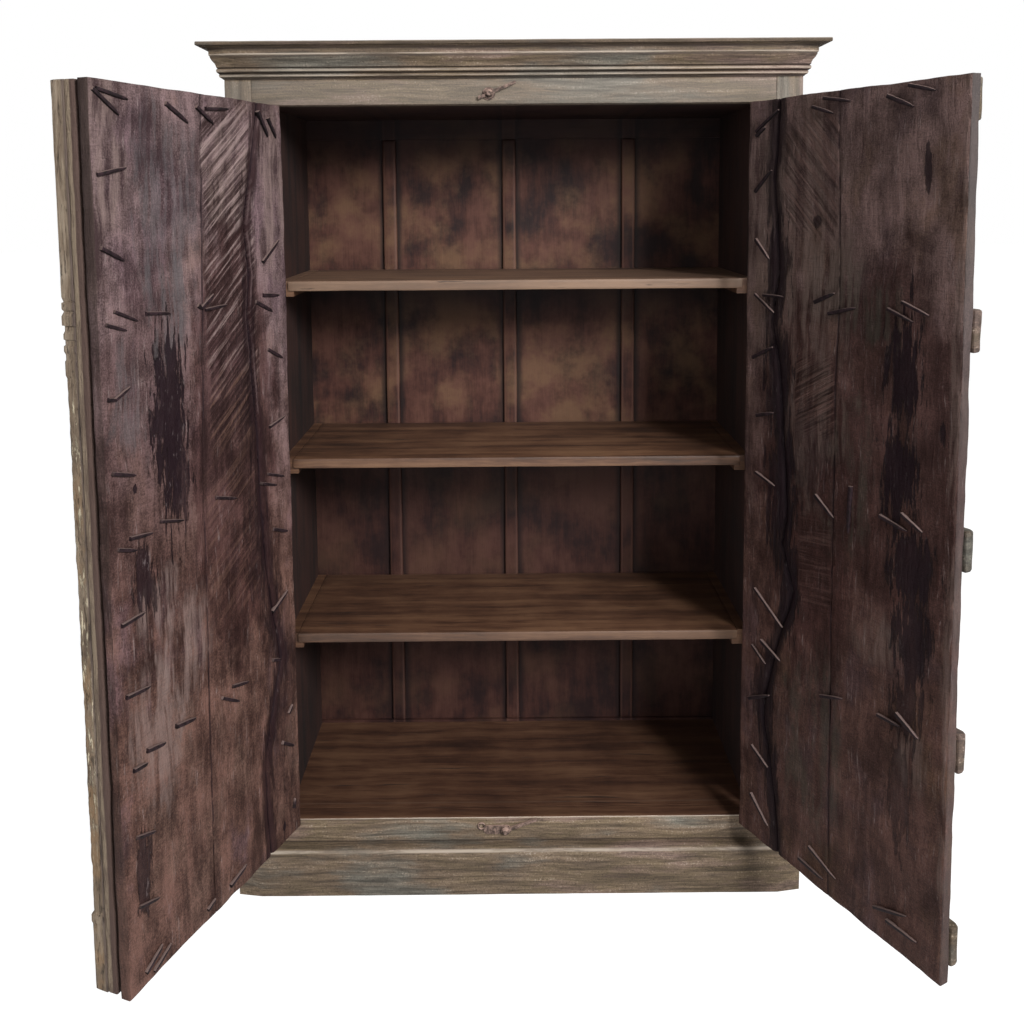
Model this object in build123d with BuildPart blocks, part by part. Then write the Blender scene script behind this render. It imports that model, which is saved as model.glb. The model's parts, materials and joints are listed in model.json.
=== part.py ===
"""Tall two-door storage cabinet: a framed carcass with a moulded cornice and plinth, three shelves,
and two old ledged plank doors hung on butt hinges, the left one with a carved cover post.

Millimetres. +Z is up, the front faces -Y, and the origin is the middle of the base on the floor.
The doors are built standing open; at joint value 0 they stand at LEFT_OPEN and RIGHT_OPEN degrees.
"""
from build123d import *
import math
import os

os.makedirs("parts", exist_ok=True)

# ---- carcass ----
BODY_WIDTH = 1214.0
BODY_DEPTH = 452.0
FRAME_TOP = 1866.0          # top of the posts, under the top board
POST_WIDTH = 56.0
FRONT_POST_DEPTH = 58.0
REAR_POST_DEPTH = 45.0
FRIEZE_HEIGHT = 118.0
FRONT_RAIL_DEPTH = 40.0
THRESHOLD_BOTTOM = 84.0
THRESHOLD_TOP = 165.0
SIDE_RAIL_THICKNESS = 28.0
SIDE_RAIL_HEIGHT = 118.0
SIDE_PANEL_THICKNESS = 10.0
SIDE_PANEL_SETBACK = 9.0
TENON_THICKNESS = 14.0
TENON_LENGTH = 28.0
TENON_SHOULDER = 12.0
GROOVE_DEPTH = 8.0
FIT = 0.1                   # play all round a tenon or a panel edge

# ---- inside ----
BACK_THICKNESS = 31.0       # back rails and muntins
BACK_PANEL_SETBACK = 10.0
BACK_PANEL_THICKNESS = 10.0
BACK_RAIL_TOP = 171.0
BACK_RAIL_HEIGHT = 166.0    # of the top rail
MUNTIN_WIDTH = 35.0
MUNTIN_PITCH = 302.0
MUNTIN_SHIFT = -12.0        # the muntins stand a little left of the middle
LINING_REACH = 31.0         # how far a lining's face stands inside the opening's edge
LINING_THICKNESS = 14.0
JAMB_THICKNESS = 12.0
JAMB_REBATE = 52.0          # depth of the rebate that takes a closed door
JAMB_DEPTH = 80.0
FLOOR_THICKNESS = 22.0
BEARER_WIDTH = 60.0
BEARER_INSET = 71.0         # the outer bearers' middles stand this far inside the opening's edges
CEILING_THICKNESS = 12.0
SHELF_BOTTOMS = {"upper": 1351.0, "middle": 954.0, "lower": 550.0}
SHELF_THICKNESS = 22.0
SHELF_SETBACK = 56.0
CLEAT_WIDTH = 21.0
CLEAT_LEDGE = 12.0          # width and height of the step that a shelf end rests on
CLEAT_SETBACK = 60.0

# ---- cornice, top board and plinth ----
TOP_BOARD_THICKNESS = 8.0
CORNICE_PROUD = 46.0
CORNICE_HEIGHT = 64.0
PLINTH_PROUD = 30.0
PLINTH_HEIGHT = 107.0
PLINTH_ROUNDING = 16.0

# ---- doors ----
LEFT_OPEN = 111.5
RIGHT_OPEN = 117.5
DOOR_GAP = 3.0              # above, below and between the leaves
PLANK_THICKNESS = 26.0
LEDGE_THICKNESS = 24.0
LEDGE_HEIGHT = 72.0
LEDGE_CENTRES = (0.037, 0.264, 0.493, 0.7325, 0.976)    # shares of the leaf's height
PLANK_SEAM = 0.6
LEFT_SEAMS = ((0.21, 0.15), (0.571, 0.474))     # shares of the leaf's width, at the foot and at the top
RIGHT_SEAMS = ((0.262, 0.124), (0.513, 0.461))
POST_COVER_WIDTH = 54.0     # the carved cover post on the left leaf's free edge
POST_COVER_THICKNESS = 30.0
POST_COVER_FOOT = 128.0
POST_COVER_HEAD = 345.0
RING_HEIGHT = 14.0
RING_PROUD = 3.0

# ---- hinges ----
HINGE_GAP = 3.4             # jamb to leaf, filled by the two flaps
FLAP_THICKNESS = 1.5
FLAP_WIDTH = 50.0           # from the hinge axis
HINGE_HEIGHT = 90.0
KNUCKLE_RADIUS = 5.5
KNUCKLE_PLAY = 0.4
AXIS_PROUD = 7.0            # hinge axis in front of the frame
PIN_RADIUS = 3.0
PIN_PLAY = 0.06
PIN_HEAD_RADIUS = 4.5
PIN_HEAD_HEIGHT = 4.0
HINGE_CENTRES = (0.1, 0.5, 0.9)     # shares of the leaf's height

# ---- nails ----
NAIL_RADIUS = 2.4
NAIL_HEAD_RADIUS = 9.0
NAIL_CROWN_RADIUS = 3.6     # the flat at the top of the domed head
NAIL_HEAD_HEIGHT = 4.0
CLENCH_LENGTH = 32.0
CLENCH_RADIUS = 2.0         # the tip is beaten a little thinner than the shank
CLENCH_ANGLE = 24.0
NAIL_COLUMNS = (0.061, 0.278, 0.499, 0.693, 0.877)  # shares of the leaf's width
NAIL_STAGGER = 16.0         # nails sit above and below the ledge's middle in turn

# ---- catches ----
UPPER_CATCH_X = -53.0
UPPER_CATCH_RISE = 21.0     # pivot above the frieze rail's lower edge
LOWER_CATCH_X = -31.0
LOWER_CATCH_DROP = 30.0     # pivot below the threshold's top
UPPER_ARM_LENGTH = 61.0
LOWER_ARM_LENGTH = 75.0
UPPER_ARM_ANGLE = 23.0
LOWER_ARM_ANGLE = 20.0
ARM_WIDTH = 8.0
ARM_TIP_WIDTH = 6.0
ARM_THICKNESS = 4.4
ARM_PLAY = 0.3
TAIL_LENGTH = 20.0
TAIL_RING = 4.5
HUB_RADIUS = 10.0
NECK_RADIUS = 5.0
NECK_PLAY = 0.08
CATCH_PLATE_THICKNESS = 3.0
UPPER_PLATE_RADIUS = 13.5
LOWER_PLATE_LENGTH = 62.0
LOWER_PLATE_WIDTH = 20.0
LOWER_PLATE_SHIFT = 18.0    # the plate's middle lies this far from the pivot, away from the arm
CATCH_HEAD_RADIUS = 9.0
CATCH_HEAD_HEIGHT = 6.0
CATCH_SHANK_LENGTH = 26.0
STAPLE_RADIUS = 7.0
STAPLE_WIRE = 2.2
STAPLE_PLACE = (-54.0, 9.0)     # from the pivot

# ---- worked out from the sizes above ----
OPENING_WIDTH = BODY_WIDTH - 2 * POST_WIDTH
INNER_WIDTH = OPENING_WIDTH - 2 * LINING_REACH              # between the two lining boards
SHELF_LENGTH = INNER_WIDTH - 2 * CLEAT_WIDTH
BEARER_SPREAD = OPENING_WIDTH / 2 - BEARER_INSET
FRONT = PLINTH_PROUD - (BODY_DEPTH + PLINTH_PROUD) / 2      # y of the frame's front face
BACK = FRONT + BODY_DEPTH
BACK_FACE = BACK - BACK_THICKNESS   # the face of the back rails and muntins
FRIEZE_BOTTOM = FRAME_TOP - FRIEZE_HEIGHT
BACK_RAIL_BOTTOM = FRAME_TOP - BACK_RAIL_HEIGHT
BACK_PANEL_FRONT = BACK_FACE + BACK_PANEL_SETBACK
TOTAL_HEIGHT = FRAME_TOP + TOP_BOARD_THICKNESS
CORNICE_BOTTOM = FRAME_TOP - CORNICE_HEIGHT
LEAF_BOTTOM = THRESHOLD_TOP + DOOR_GAP
LEAF_TOP = FRIEZE_BOTTOM - DOOR_GAP
LEAF_HEIGHT = LEAF_TOP - LEAF_BOTTOM
AXIS_X = OPENING_WIDTH / 2 - JAMB_THICKNESS - HINGE_GAP / 2
AXIS_Y = FRONT - AXIS_PROUD
LEAF_START = HINGE_GAP / 2          # along the leaf, from the hinge axis
LEAF_END = AXIS_X - DOOR_GAP / 2
LEAF_WIDTH = LEAF_END - LEAF_START
LEDGE_OUTER = AXIS_PROUD            # depths behind the hinge axis, square to the leaf
PLANK_OUTER = LEDGE_OUTER + LEDGE_THICKNESS
PLANK_INNER = PLANK_OUTER + PLANK_THICKNESS
UPPER_CATCH = (UPPER_CATCH_X, FRIEZE_BOTTOM + UPPER_CATCH_RISE)
LOWER_CATCH = (LOWER_CATCH_X, THRESHOLD_TOP - LOWER_CATCH_DROP)


def save(piece, name):
    """Labels a finished piece and writes its STEP file."""
    piece.part.label = name
    export_step(piece.part, f"parts/{name}.step")


def block(low, high, mode=Mode.ADD):
    """A box from its lowest to its highest corner, in the current part."""
    centre = [(a + b) / 2 for a, b in zip(low, high)]
    with Locations(tuple(centre)):
        Box(*[b - a for a, b in zip(low, high)], mode=mode)


# ---- rails between the posts ----
CROSS_RAILS = {     # bottom, top, front face, depth
    "frieze_rail": (FRIEZE_BOTTOM, FRAME_TOP, FRONT, FRONT_RAIL_DEPTH),
    "threshold_rail": (THRESHOLD_BOTTOM, THRESHOLD_TOP, FRONT, FRONT_RAIL_DEPTH),
    "back_top_rail": (BACK_RAIL_BOTTOM, FRAME_TOP, BACK_FACE, BACK_THICKNESS),
    "back_bottom_rail": (0.0, BACK_RAIL_TOP, BACK_FACE, BACK_THICKNESS),
}
SIDE_RAILS = {      # bottom, top
    "top_rail": (FRAME_TOP - SIDE_RAIL_HEIGHT, FRAME_TOP),
    "bottom_rail": (THRESHOLD_TOP - SIDE_RAIL_HEIGHT, THRESHOLD_TOP),
}
SIDE_RAIL_FRONT = FRONT + FRONT_POST_DEPTH
SIDE_RAIL_BACK = BACK - REAR_POST_DEPTH
SIDE_PANEL_OUTER = BODY_WIDTH / 2 - SIDE_PANEL_SETBACK
SIDE_PANEL_INNER = SIDE_PANEL_OUTER - SIDE_PANEL_THICKNESS
SIDE_RAIL_MIDDLE = BODY_WIDTH / 2 - SIDE_RAIL_THICKNESS / 2


def tenon_block(bottom, top, centre, reach, along_x, play, mode):
    """The long tenon bar of a rail, or with play its mortise, centred at (x, y)."""
    half = [reach, TENON_THICKNESS / 2 + play] if along_x else [TENON_THICKNESS / 2 + play, reach]
    low_z = bottom + TENON_SHOULDER - play
    high_z = top - TENON_SHOULDER + play
    block((centre[0] - half[0], centre[1] - half[1], low_z), (centre[0] + half[0], centre[1] + half[1], high_z), mode)


def cut_cross_mortises(names):
    for name in names:
        bottom, top, face, depth = CROSS_RAILS[name]
        reach = OPENING_WIDTH / 2 + TENON_LENGTH + FIT
        tenon_block(bottom, top, (0, face + depth / 2), reach, True, FIT, Mode.SUBTRACT)


def cut_side_mortises(sign):
    for bottom, top in SIDE_RAILS.values():
        reach = (SIDE_RAIL_BACK - SIDE_RAIL_FRONT) / 2 + TENON_LENGTH + FIT
        centre = (sign * SIDE_RAIL_MIDDLE, (SIDE_RAIL_BACK + SIDE_RAIL_FRONT) / 2)
        tenon_block(bottom, top, centre, reach, False, FIT, Mode.SUBTRACT)


def side_panel_block(sign, play, mode=Mode.ADD):
    """The body of a side panel, or with play the grooves that hold it."""
    x = sorted((sign * (SIDE_PANEL_INNER - play), sign * (SIDE_PANEL_OUTER + play)))
    grow = GROOVE_DEPTH - FIT + play
    low = (x[0], SIDE_RAIL_FRONT - grow, SIDE_RAILS["bottom_rail"][1] - grow)
    high = (x[1], SIDE_RAIL_BACK + grow, SIDE_RAILS["top_rail"][0] + grow)
    block(low, high, mode)


def back_panel_block(edges, play, mode=Mode.ADD):
    """The body of a back panel between two upright edges, or with play its grooves."""
    grow = GROOVE_DEPTH - FIT + play
    low = (edges[0] - grow, BACK_PANEL_FRONT - play, BACK_RAIL_TOP - grow)
    high = (edges[1] + grow, BACK_PANEL_FRONT + BACK_PANEL_THICKNESS + play, BACK_RAIL_BOTTOM + grow)
    block(low, high, mode)


MUNTINS = {name: MUNTIN_SHIFT + k * MUNTIN_PITCH for name, k in (("left", -1), ("centre", 0), ("right", 1))}
UPRIGHT_EDGES = [-OPENING_WIDTH / 2]
for muntin_x in MUNTINS.values():
    UPRIGHT_EDGES += [muntin_x - MUNTIN_WIDTH / 2, muntin_x + MUNTIN_WIDTH / 2]
UPRIGHT_EDGES.append(OPENING_WIDTH / 2)
BAYS = {
    name: (UPRIGHT_EDGES[2 * k], UPRIGHT_EDGES[2 * k + 1])
    for k, name in enumerate(("outer_left", "inner_left", "inner_right", "outer_right"))
}

# ---- posts ----
for side, sign in (("left", -1), ("right", 1)):
    post_x = sorted((sign * OPENING_WIDTH / 2, sign * BODY_WIDTH / 2))

    with BuildPart() as front_post:
        block((post_x[0], FRONT, 0), (post_x[1], FRONT + FRONT_POST_DEPTH, FRAME_TOP))
        cut_cross_mortises(("frieze_rail", "threshold_rail"))
        cut_side_mortises(sign)
        side_panel_block(sign, FIT, Mode.SUBTRACT)
    save(front_post, f"{side}_front_post")

    with BuildPart() as rear_post:
        block((post_x[0], BACK - REAR_POST_DEPTH, 0), (post_x[1], BACK, FRAME_TOP))
        cut_cross_mortises(("back_top_rail", "back_bottom_rail"))
        cut_side_mortises(sign)
        side_panel_block(sign, FIT, Mode.SUBTRACT)
        back_panel_block(BAYS[f"outer_{side}"], FIT, Mode.SUBTRACT)
    save(rear_post, f"{side}_rear_post")

# ---- rails ----
CATCHES = {"frieze_rail": UPPER_CATCH, "threshold_rail": LOWER_CATCH}

for name, (bottom, top, face, depth) in CROSS_RAILS.items():
    with BuildPart() as cross_rail:
        block((-OPENING_WIDTH / 2, face, bottom), (OPENING_WIDTH / 2, face + depth, top))
        tenon_block(bottom, top, (0, face + depth / 2), OPENING_WIDTH / 2 + TENON_LENGTH, True, 0, Mode.ADD)
        if name in CATCHES:
            catch_x, catch_z = CATCHES[name]
            with Locations(Plane((catch_x, FRONT, catch_z), z_dir=(0, 1, 0))):
                Cylinder(NECK_RADIUS, CATCH_SHANK_LENGTH, align=(Align.CENTER, Align.CENTER, Align.MIN),
                         mode=Mode.SUBTRACT)
        else:
            for edges in BAYS.values():
                back_panel_block(edges, FIT, Mode.SUBTRACT)
    save(cross_rail, name)

for side, sign in (("left", -1), ("right", 1)):
    for name, (bottom, top) in SIDE_RAILS.items():
        rail_x = sorted((sign * (BODY_WIDTH / 2 - SIDE_RAIL_THICKNESS), sign * BODY_WIDTH / 2))
        centre = (sign * SIDE_RAIL_MIDDLE, (SIDE_RAIL_BACK + SIDE_RAIL_FRONT) / 2)
        reach = (SIDE_RAIL_BACK - SIDE_RAIL_FRONT) / 2 + TENON_LENGTH
        with BuildPart() as side_rail:
            block((rail_x[0], SIDE_RAIL_FRONT, bottom), (rail_x[1], SIDE_RAIL_BACK, top))
            tenon_block(bottom, top, centre, reach, False, 0, Mode.ADD)
            side_panel_block(sign, FIT, Mode.SUBTRACT)
        save(side_rail, f"{side}_side_{name}")

    with BuildPart() as side_panel:
        side_panel_block(sign, 0)
    save(side_panel, f"{side}_side_panel")

# ---- back muntins and panels ----
for name, muntin_x in MUNTINS.items():
    with BuildPart() as muntin:
        block((muntin_x - MUNTIN_WIDTH / 2, BACK_FACE, BACK_RAIL_TOP),
              (muntin_x + MUNTIN_WIDTH / 2, BACK, BACK_RAIL_BOTTOM))
        for edges in BAYS.values():
            back_panel_block(edges, FIT, Mode.SUBTRACT)
    save(muntin, f"{name}_back_muntin")

for name, edges in BAYS.items():
    with BuildPart() as back_panel:
        back_panel_block(edges, 0)
    save(back_panel, f"{name}_back_panel")

# ---- jambs and linings ----
for side, sign in (("left", -1), ("right", 1)):
    outer = sign * OPENING_WIDTH / 2
    hinge_face = sign * (OPENING_WIDTH / 2 - JAMB_THICKNESS)
    inner = sign * INNER_WIDTH / 2

    with BuildPart() as jamb:
        with BuildSketch(Plane.XY.offset(THRESHOLD_TOP)):
            with BuildLine():
                Polyline(
                    (outer, FRONT), (hinge_face, FRONT), (hinge_face, FRONT + JAMB_REBATE),
                    (inner, FRONT + JAMB_REBATE), (inner, FRONT + JAMB_DEPTH), (outer, FRONT + JAMB_DEPTH),
                    close=True,
                )
            make_face()
        extrude(amount=FRIEZE_BOTTOM - THRESHOLD_TOP)
    save(jamb, f"{side}_jamb")

    lining_x = sorted((inner, inner + sign * LINING_THICKNESS))
    with BuildPart() as lining:
        block((lining_x[0], FRONT + JAMB_DEPTH, THRESHOLD_TOP), (lining_x[1], BACK_FACE, FRIEZE_BOTTOM))
    save(lining, f"{side}_lining")

# ---- floor, its bearers and the ceiling ----
with BuildPart() as floor_board:
    block((-OPENING_WIDTH / 2, FRONT + FRONT_RAIL_DEPTH, THRESHOLD_TOP - FLOOR_THICKNESS),
          (OPENING_WIDTH / 2, BACK_FACE, THRESHOLD_TOP))
save(floor_board, "floor_board")

with BuildPart() as floor_bearers:
    for bearer_x in (-BEARER_SPREAD, 0, BEARER_SPREAD):
        block((bearer_x - BEARER_WIDTH / 2, FRONT + FRONT_RAIL_DEPTH, 0),
              (bearer_x + BEARER_WIDTH / 2, BACK_FACE, THRESHOLD_TOP - FLOOR_THICKNESS))
save(floor_bearers, "floor_bearers")

with BuildPart() as ceiling_board:
    block((-OPENING_WIDTH / 2, FRONT + FRONT_RAIL_DEPTH, FRIEZE_BOTTOM),
          (OPENING_WIDTH / 2, BACK_FACE, FRIEZE_BOTTOM + CEILING_THICKNESS))
save(ceiling_board, "ceiling_board")

# ---- shelves and the cleats under their ends ----
for name, shelf_bottom in SHELF_BOTTOMS.items():
    with BuildPart() as shelf:
        block((-SHELF_LENGTH / 2, FRONT + SHELF_SETBACK, shelf_bottom),
              (SHELF_LENGTH / 2, BACK_FACE, shelf_bottom + SHELF_THICKNESS))
    save(shelf, f"{name}_shelf")

for side, sign in (("left", -1), ("right", 1)):
    wall = sign * INNER_WIDTH / 2
    shelf_end = sign * SHELF_LENGTH / 2
    ledge_end = shelf_end - sign * CLEAT_LEDGE
    with BuildPart() as shelf_cleats:
        with BuildSketch(Plane((0, FRONT + CLEAT_SETBACK, 0), x_dir=(1, 0, 0), z_dir=(0, -1, 0))):
            for shelf_bottom in SHELF_BOTTOMS.values():
                shelf_top = shelf_bottom + SHELF_THICKNESS
                with BuildLine():
                    Polyline(
                        (wall, shelf_top), (shelf_end, shelf_top), (shelf_end, shelf_bottom),
                        (ledge_end, shelf_bottom), (ledge_end, shelf_bottom - CLEAT_LEDGE),
                        (wall, shelf_bottom - CLEAT_LEDGE), close=True,
                    )
                make_face()
        extrude(amount=FRONT + CLEAT_SETBACK - BACK_FACE)
    save(shelf_cleats, f"{side}_shelf_cleats")

# ---- cornice and plinth: mouldings mitred round the front corners ----


def cornice_outline():
    """The cornice's section, from shares of how far it stands proud (to the right) and of its height (upwards)."""

    def at(*shares):
        return [(proud * CORNICE_PROUD, up * CORNICE_HEIGHT) for proud, up in shares]

    with BuildLine() as section:
        Polyline(*at((0.065, 0.047), (0.065, 0), (0, 0), (0, 1), (0.891, 1)))
        RadiusArc(*at((0.891, 1), (0.739, 0.891)), -0.163 * CORNICE_PROUD)
        Polyline(*at((0.739, 0.891), (0.739, 0.734), (0.674, 0.703), (0.674, 0.656)))
        Spline(*at((0.674, 0.656), (0.565, 0.547), (0.413, 0.453), (0.37, 0.359)), tangents=((-0.6, -1), (0, -1)))
        Polyline(*at((0.37, 0.359), (0.304, 0.328)))
        ThreePointArc(*at((0.304, 0.328), (0.391, 0.258), (0.304, 0.188)))
        Polyline(*at((0.304, 0.188), (0.196, 0.172)))
        ThreePointArc(*at((0.196, 0.172), (0.261, 0.109), (0.174, 0.047)))
        Polyline(*at((0.174, 0.047), (0.065, 0.047)))
    make_face(section.edges())


def plinth_outline():
    """The plinth's section: a plain board with its top edge rounded over."""
    shoulder = PLINTH_HEIGHT - PLINTH_ROUNDING
    brow = PLINTH_PROUD - PLINTH_ROUNDING
    with BuildLine() as section:
        Polyline((brow, PLINTH_HEIGHT), (0, PLINTH_HEIGHT), (0, 0), (PLINTH_PROUD, 0), (PLINTH_PROUD, shoulder))
        CenterArc((brow, shoulder), PLINTH_ROUNDING, 0, 90)
    make_face(section.edges())


MOULDINGS = {       # section, underside, the most it stands proud
    "cornice": (cornice_outline, CORNICE_BOTTOM, CORNICE_PROUD),
    "plinth": (plinth_outline, 0.0, PLINTH_PROUD),
}
MITRES = {sign: Plane((sign * BODY_WIDTH / 2, FRONT, 0), z_dir=(sign, 1, 0)) for sign in (-1, 1)}

for name, (outline, underside, proud) in MOULDINGS.items():
    half_run = BODY_WIDTH / 2 + proud
    with BuildPart() as front_moulding:
        with BuildSketch(Plane((half_run, FRONT, underside), x_dir=(0, -1, 0), z_dir=(-1, 0, 0))):
            outline()
        extrude(amount=2 * half_run)
        for mitre in MITRES.values():
            split(bisect_by=mitre, keep=Keep.BOTTOM)
    save(front_moulding, f"{name}_front")

    for side, sign in (("left", -1), ("right", 1)):
        with BuildPart() as side_moulding:
            with BuildSketch(Plane((sign * BODY_WIDTH / 2, BACK, underside), x_dir=(sign, 0, 0), z_dir=(0, -sign, 0))):
                outline()
            extrude(amount=sign * (BODY_DEPTH + proud))
            split(bisect_by=MITRES[sign], keep=Keep.TOP)
        save(side_moulding, f"{name}_{side}")

with BuildPart() as top_board:
    half_width = BODY_WIDTH / 2 + CORNICE_PROUD
    block((-half_width, FRONT - CORNICE_PROUD, FRAME_TOP), (half_width, BACK, TOTAL_HEIGHT))
    front_edges = top_board.edges().filter_by(Axis.X).group_by(Axis.Y)[0]
    side_edges = top_board.edges().filter_by(Axis.Y)
    fillet(front_edges + side_edges, radius=TOP_BOARD_THICKNESS * 0.3)
save(top_board, "top_board")

# ---- doors ----


class Leaf:
    """Where an open door leaf stands: along it from the hinge axis, up, and through its depth."""

    def __init__(self, side, sign, open_degrees, seams):
        turn = math.radians(open_degrees)
        self.side = side
        self.seams = seams
        self.axis = (sign * AXIS_X, AXIS_Y)
        self.along = (-sign * math.cos(turn), -math.sin(turn), 0)
        self.inward = sign
        self.face = Plane((*self.axis, 0), x_dir=self.along, z_dir=(self.along[1], -self.along[0], 0))

    def at_depth(self, outer, inner):
        """The upright plane that a slab between two depths is extruded from, towards +normal."""
        return self.face.offset(min(self.inward * outer, self.inward * inner))

    def floor_plan(self, height):
        """A level plane with x along the leaf; depth is inward on the left leaf."""
        return Plane((*self.axis, height), x_dir=self.along, z_dir=(0, 0, 1))


LEAVES = (
    Leaf("left", -1, LEFT_OPEN, LEFT_SEAMS),
    Leaf("right", 1, RIGHT_OPEN, RIGHT_SEAMS),
)
PLANK_NAMES = ("hinge", "middle", "outer")

for leaf in LEAVES:
    for k, name in enumerate(PLANK_NAMES):
        near = (0, 0) if k == 0 else [s * LEAF_WIDTH + PLANK_SEAM / 2 for s in leaf.seams[k - 1]]
        far = [s * LEAF_WIDTH - PLANK_SEAM / 2 for s in leaf.seams[k]] if k < 2 else 2 * [LEAF_WIDTH]
        with BuildPart() as plank:
            with BuildSketch(leaf.at_depth(PLANK_OUTER, PLANK_INNER)):
                with BuildLine():
                    Polyline(
                        (LEAF_START + near[0], LEAF_BOTTOM), (LEAF_START + far[0], LEAF_BOTTOM),
                        (LEAF_START + far[1], LEAF_TOP), (LEAF_START + near[1], LEAF_TOP), close=True,
                    )
                make_face()
            extrude(amount=PLANK_THICKNESS)
        save(plank, f"{leaf.side}_door_{name}_plank")

    with BuildPart() as ledges:
        with BuildSketch(leaf.at_depth(LEDGE_OUTER, PLANK_OUTER)):
            for share in LEDGE_CENTRES:
                with Locations(((LEAF_START + LEAF_END) / 2, LEAF_BOTTOM + share * LEAF_HEIGHT)):
                    Rectangle(LEAF_WIDTH, LEDGE_HEIGHT)
        extrude(amount=LEDGE_THICKNESS)
    save(ledges, f"{leaf.side}_door_ledges")

    with BuildPart() as nails:
        for share in LEDGE_CENTRES:
            for k, column in enumerate(NAIL_COLUMNS):
                up = LEAF_BOTTOM + share * LEAF_HEIGHT + (k % 2 * 2 - 1) * NAIL_STAGGER
                out = LEAF_START + column * LEAF_WIDTH
                foot = leaf.face.offset(leaf.inward * LEDGE_OUTER).from_local_coords(Vector(out, up, 0))
                inward = leaf.face.z_dir * leaf.inward
                drive = Plane(foot, x_dir=leaf.along, z_dir=inward)
                bend_at = LEDGE_THICKNESS + PLANK_THICKNESS + CLENCH_RADIUS
                with Locations(drive):
                    Cylinder(NAIL_RADIUS, bend_at + NAIL_RADIUS, align=(Align.CENTER, Align.CENTER, Align.MIN))
                with Locations(drive.offset(-NAIL_HEAD_HEIGHT)):
                    Cone(NAIL_CROWN_RADIUS, NAIL_HEAD_RADIUS, NAIL_HEAD_HEIGHT,
                         align=(Align.CENTER, Align.CENTER, Align.MIN))
                lean = math.radians(CLENCH_ANGLE if k % 2 else -CLENCH_ANGLE)
                tip = Vector(*leaf.along) * math.cos(lean) + Vector(0, 0, math.sin(lean))
                with Locations(Plane(foot + inward * bend_at, z_dir=tip)):
                    Cylinder(CLENCH_RADIUS, CLENCH_LENGTH, align=(Align.CENTER, Align.CENTER, Align.MIN))
    save(nails, f"{leaf.side}_door_nails")

# ---- carved cover post on the left leaf ----
left_leaf = LEAVES[0]
COVER_START = LEAF_END - POST_COVER_WIDTH
COVER_STAGES = (        # bottom, top, how far its face stands proud, rounding of its front corners
    (LEAF_BOTTOM, LEAF_BOTTOM + POST_COVER_FOOT, 0.0, 2.0),
    (LEAF_BOTTOM + POST_COVER_FOOT, LEAF_BOTTOM + POST_COVER_FOOT + RING_HEIGHT, RING_PROUD, 6.0),
    (LEAF_BOTTOM + POST_COVER_FOOT + RING_HEIGHT, LEAF_TOP - POST_COVER_HEAD - RING_HEIGHT, -2.0, 24.0),
    (LEAF_TOP - POST_COVER_HEAD - RING_HEIGHT, LEAF_TOP - POST_COVER_HEAD, RING_PROUD, 6.0),
    (LEAF_TOP - POST_COVER_HEAD, LEAF_TOP, 0.0, 2.0),
)

with BuildPart() as cover_post:
    for bottom, top, proud, rounding in COVER_STAGES:
        with BuildSketch(left_leaf.floor_plan(bottom)):
            depth = POST_COVER_THICKNESS + proud
            with Locations(((COVER_START + LEAF_END) / 2, LEDGE_OUTER - depth / 2)):
                Rectangle(POST_COVER_WIDTH, depth)
            front_corners = vertices().group_by(lambda v: round(left_leaf.floor_plan(0).to_local_coords(v).Y, 3))[0]
            fillet(front_corners, radius=rounding)
        extrude(amount=top - bottom)
save(cover_post, "left_door_cover_post")

# ---- butt hinges: flaps on the jambs, flaps on the leaves, and their pins ----
KNUCKLE_HEIGHT = HINGE_HEIGHT / 3
HINGE_FEET = [LEAF_BOTTOM + share * LEAF_HEIGHT - HINGE_HEIGHT / 2 for share in HINGE_CENTRES]


def knuckles_with_flap(plane_at, foot, flap_side, depth_sign, spans):
    """One hinge half: a flap plate beside the axis and the knuckles of the given height spans."""
    plate = sorted((flap_side * (HINGE_GAP / 2 - FLAP_THICKNESS), flap_side * HINGE_GAP / 2))
    clear = KNUCKLE_RADIUS + 2 * KNUCKLE_PLAY
    with BuildSketch(plane_at(foot)) as flap:
        with Locations(((plate[0] + plate[1]) / 2, depth_sign * (clear + FLAP_WIDTH) / 2)):
            Rectangle(FLAP_THICKNESS, FLAP_WIDTH - clear)
    extrude(flap.sketch, amount=HINGE_HEIGHT)
    for low, high in spans:
        with BuildSketch(plane_at(foot + low)) as knuckle:
            Circle(KNUCKLE_RADIUS)
            with Locations(((plate[0] + plate[1]) / 2, depth_sign * clear / 2)):
                Rectangle(FLAP_THICKNESS, clear + 1)
            Circle(PIN_RADIUS + PIN_PLAY, mode=Mode.SUBTRACT)
        extrude(knuckle.sketch, amount=high - low)


OUTER_SPANS = ((0, KNUCKLE_HEIGHT), (2 * KNUCKLE_HEIGHT, HINGE_HEIGHT))
INNER_SPAN = ((KNUCKLE_HEIGHT + KNUCKLE_PLAY, 2 * KNUCKLE_HEIGHT - KNUCKLE_PLAY),)

with BuildPart() as hinge_jamb_flaps:
    for sign in (-1, 1):
        def jamb_plane(height, sign=sign):
            return Plane((sign * AXIS_X, AXIS_Y, height))
        for foot in HINGE_FEET:
            knuckles_with_flap(jamb_plane, foot, sign, 1, OUTER_SPANS)
save(hinge_jamb_flaps, "hinge_jamb_flaps")

for leaf in LEAVES:
    with BuildPart() as hinge_leaf_flaps:
        for foot in HINGE_FEET:
            knuckles_with_flap(leaf.floor_plan, foot, 1, -leaf.inward, INNER_SPAN)
    save(hinge_leaf_flaps, f"{leaf.side}_hinge_leaf_flaps")

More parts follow.
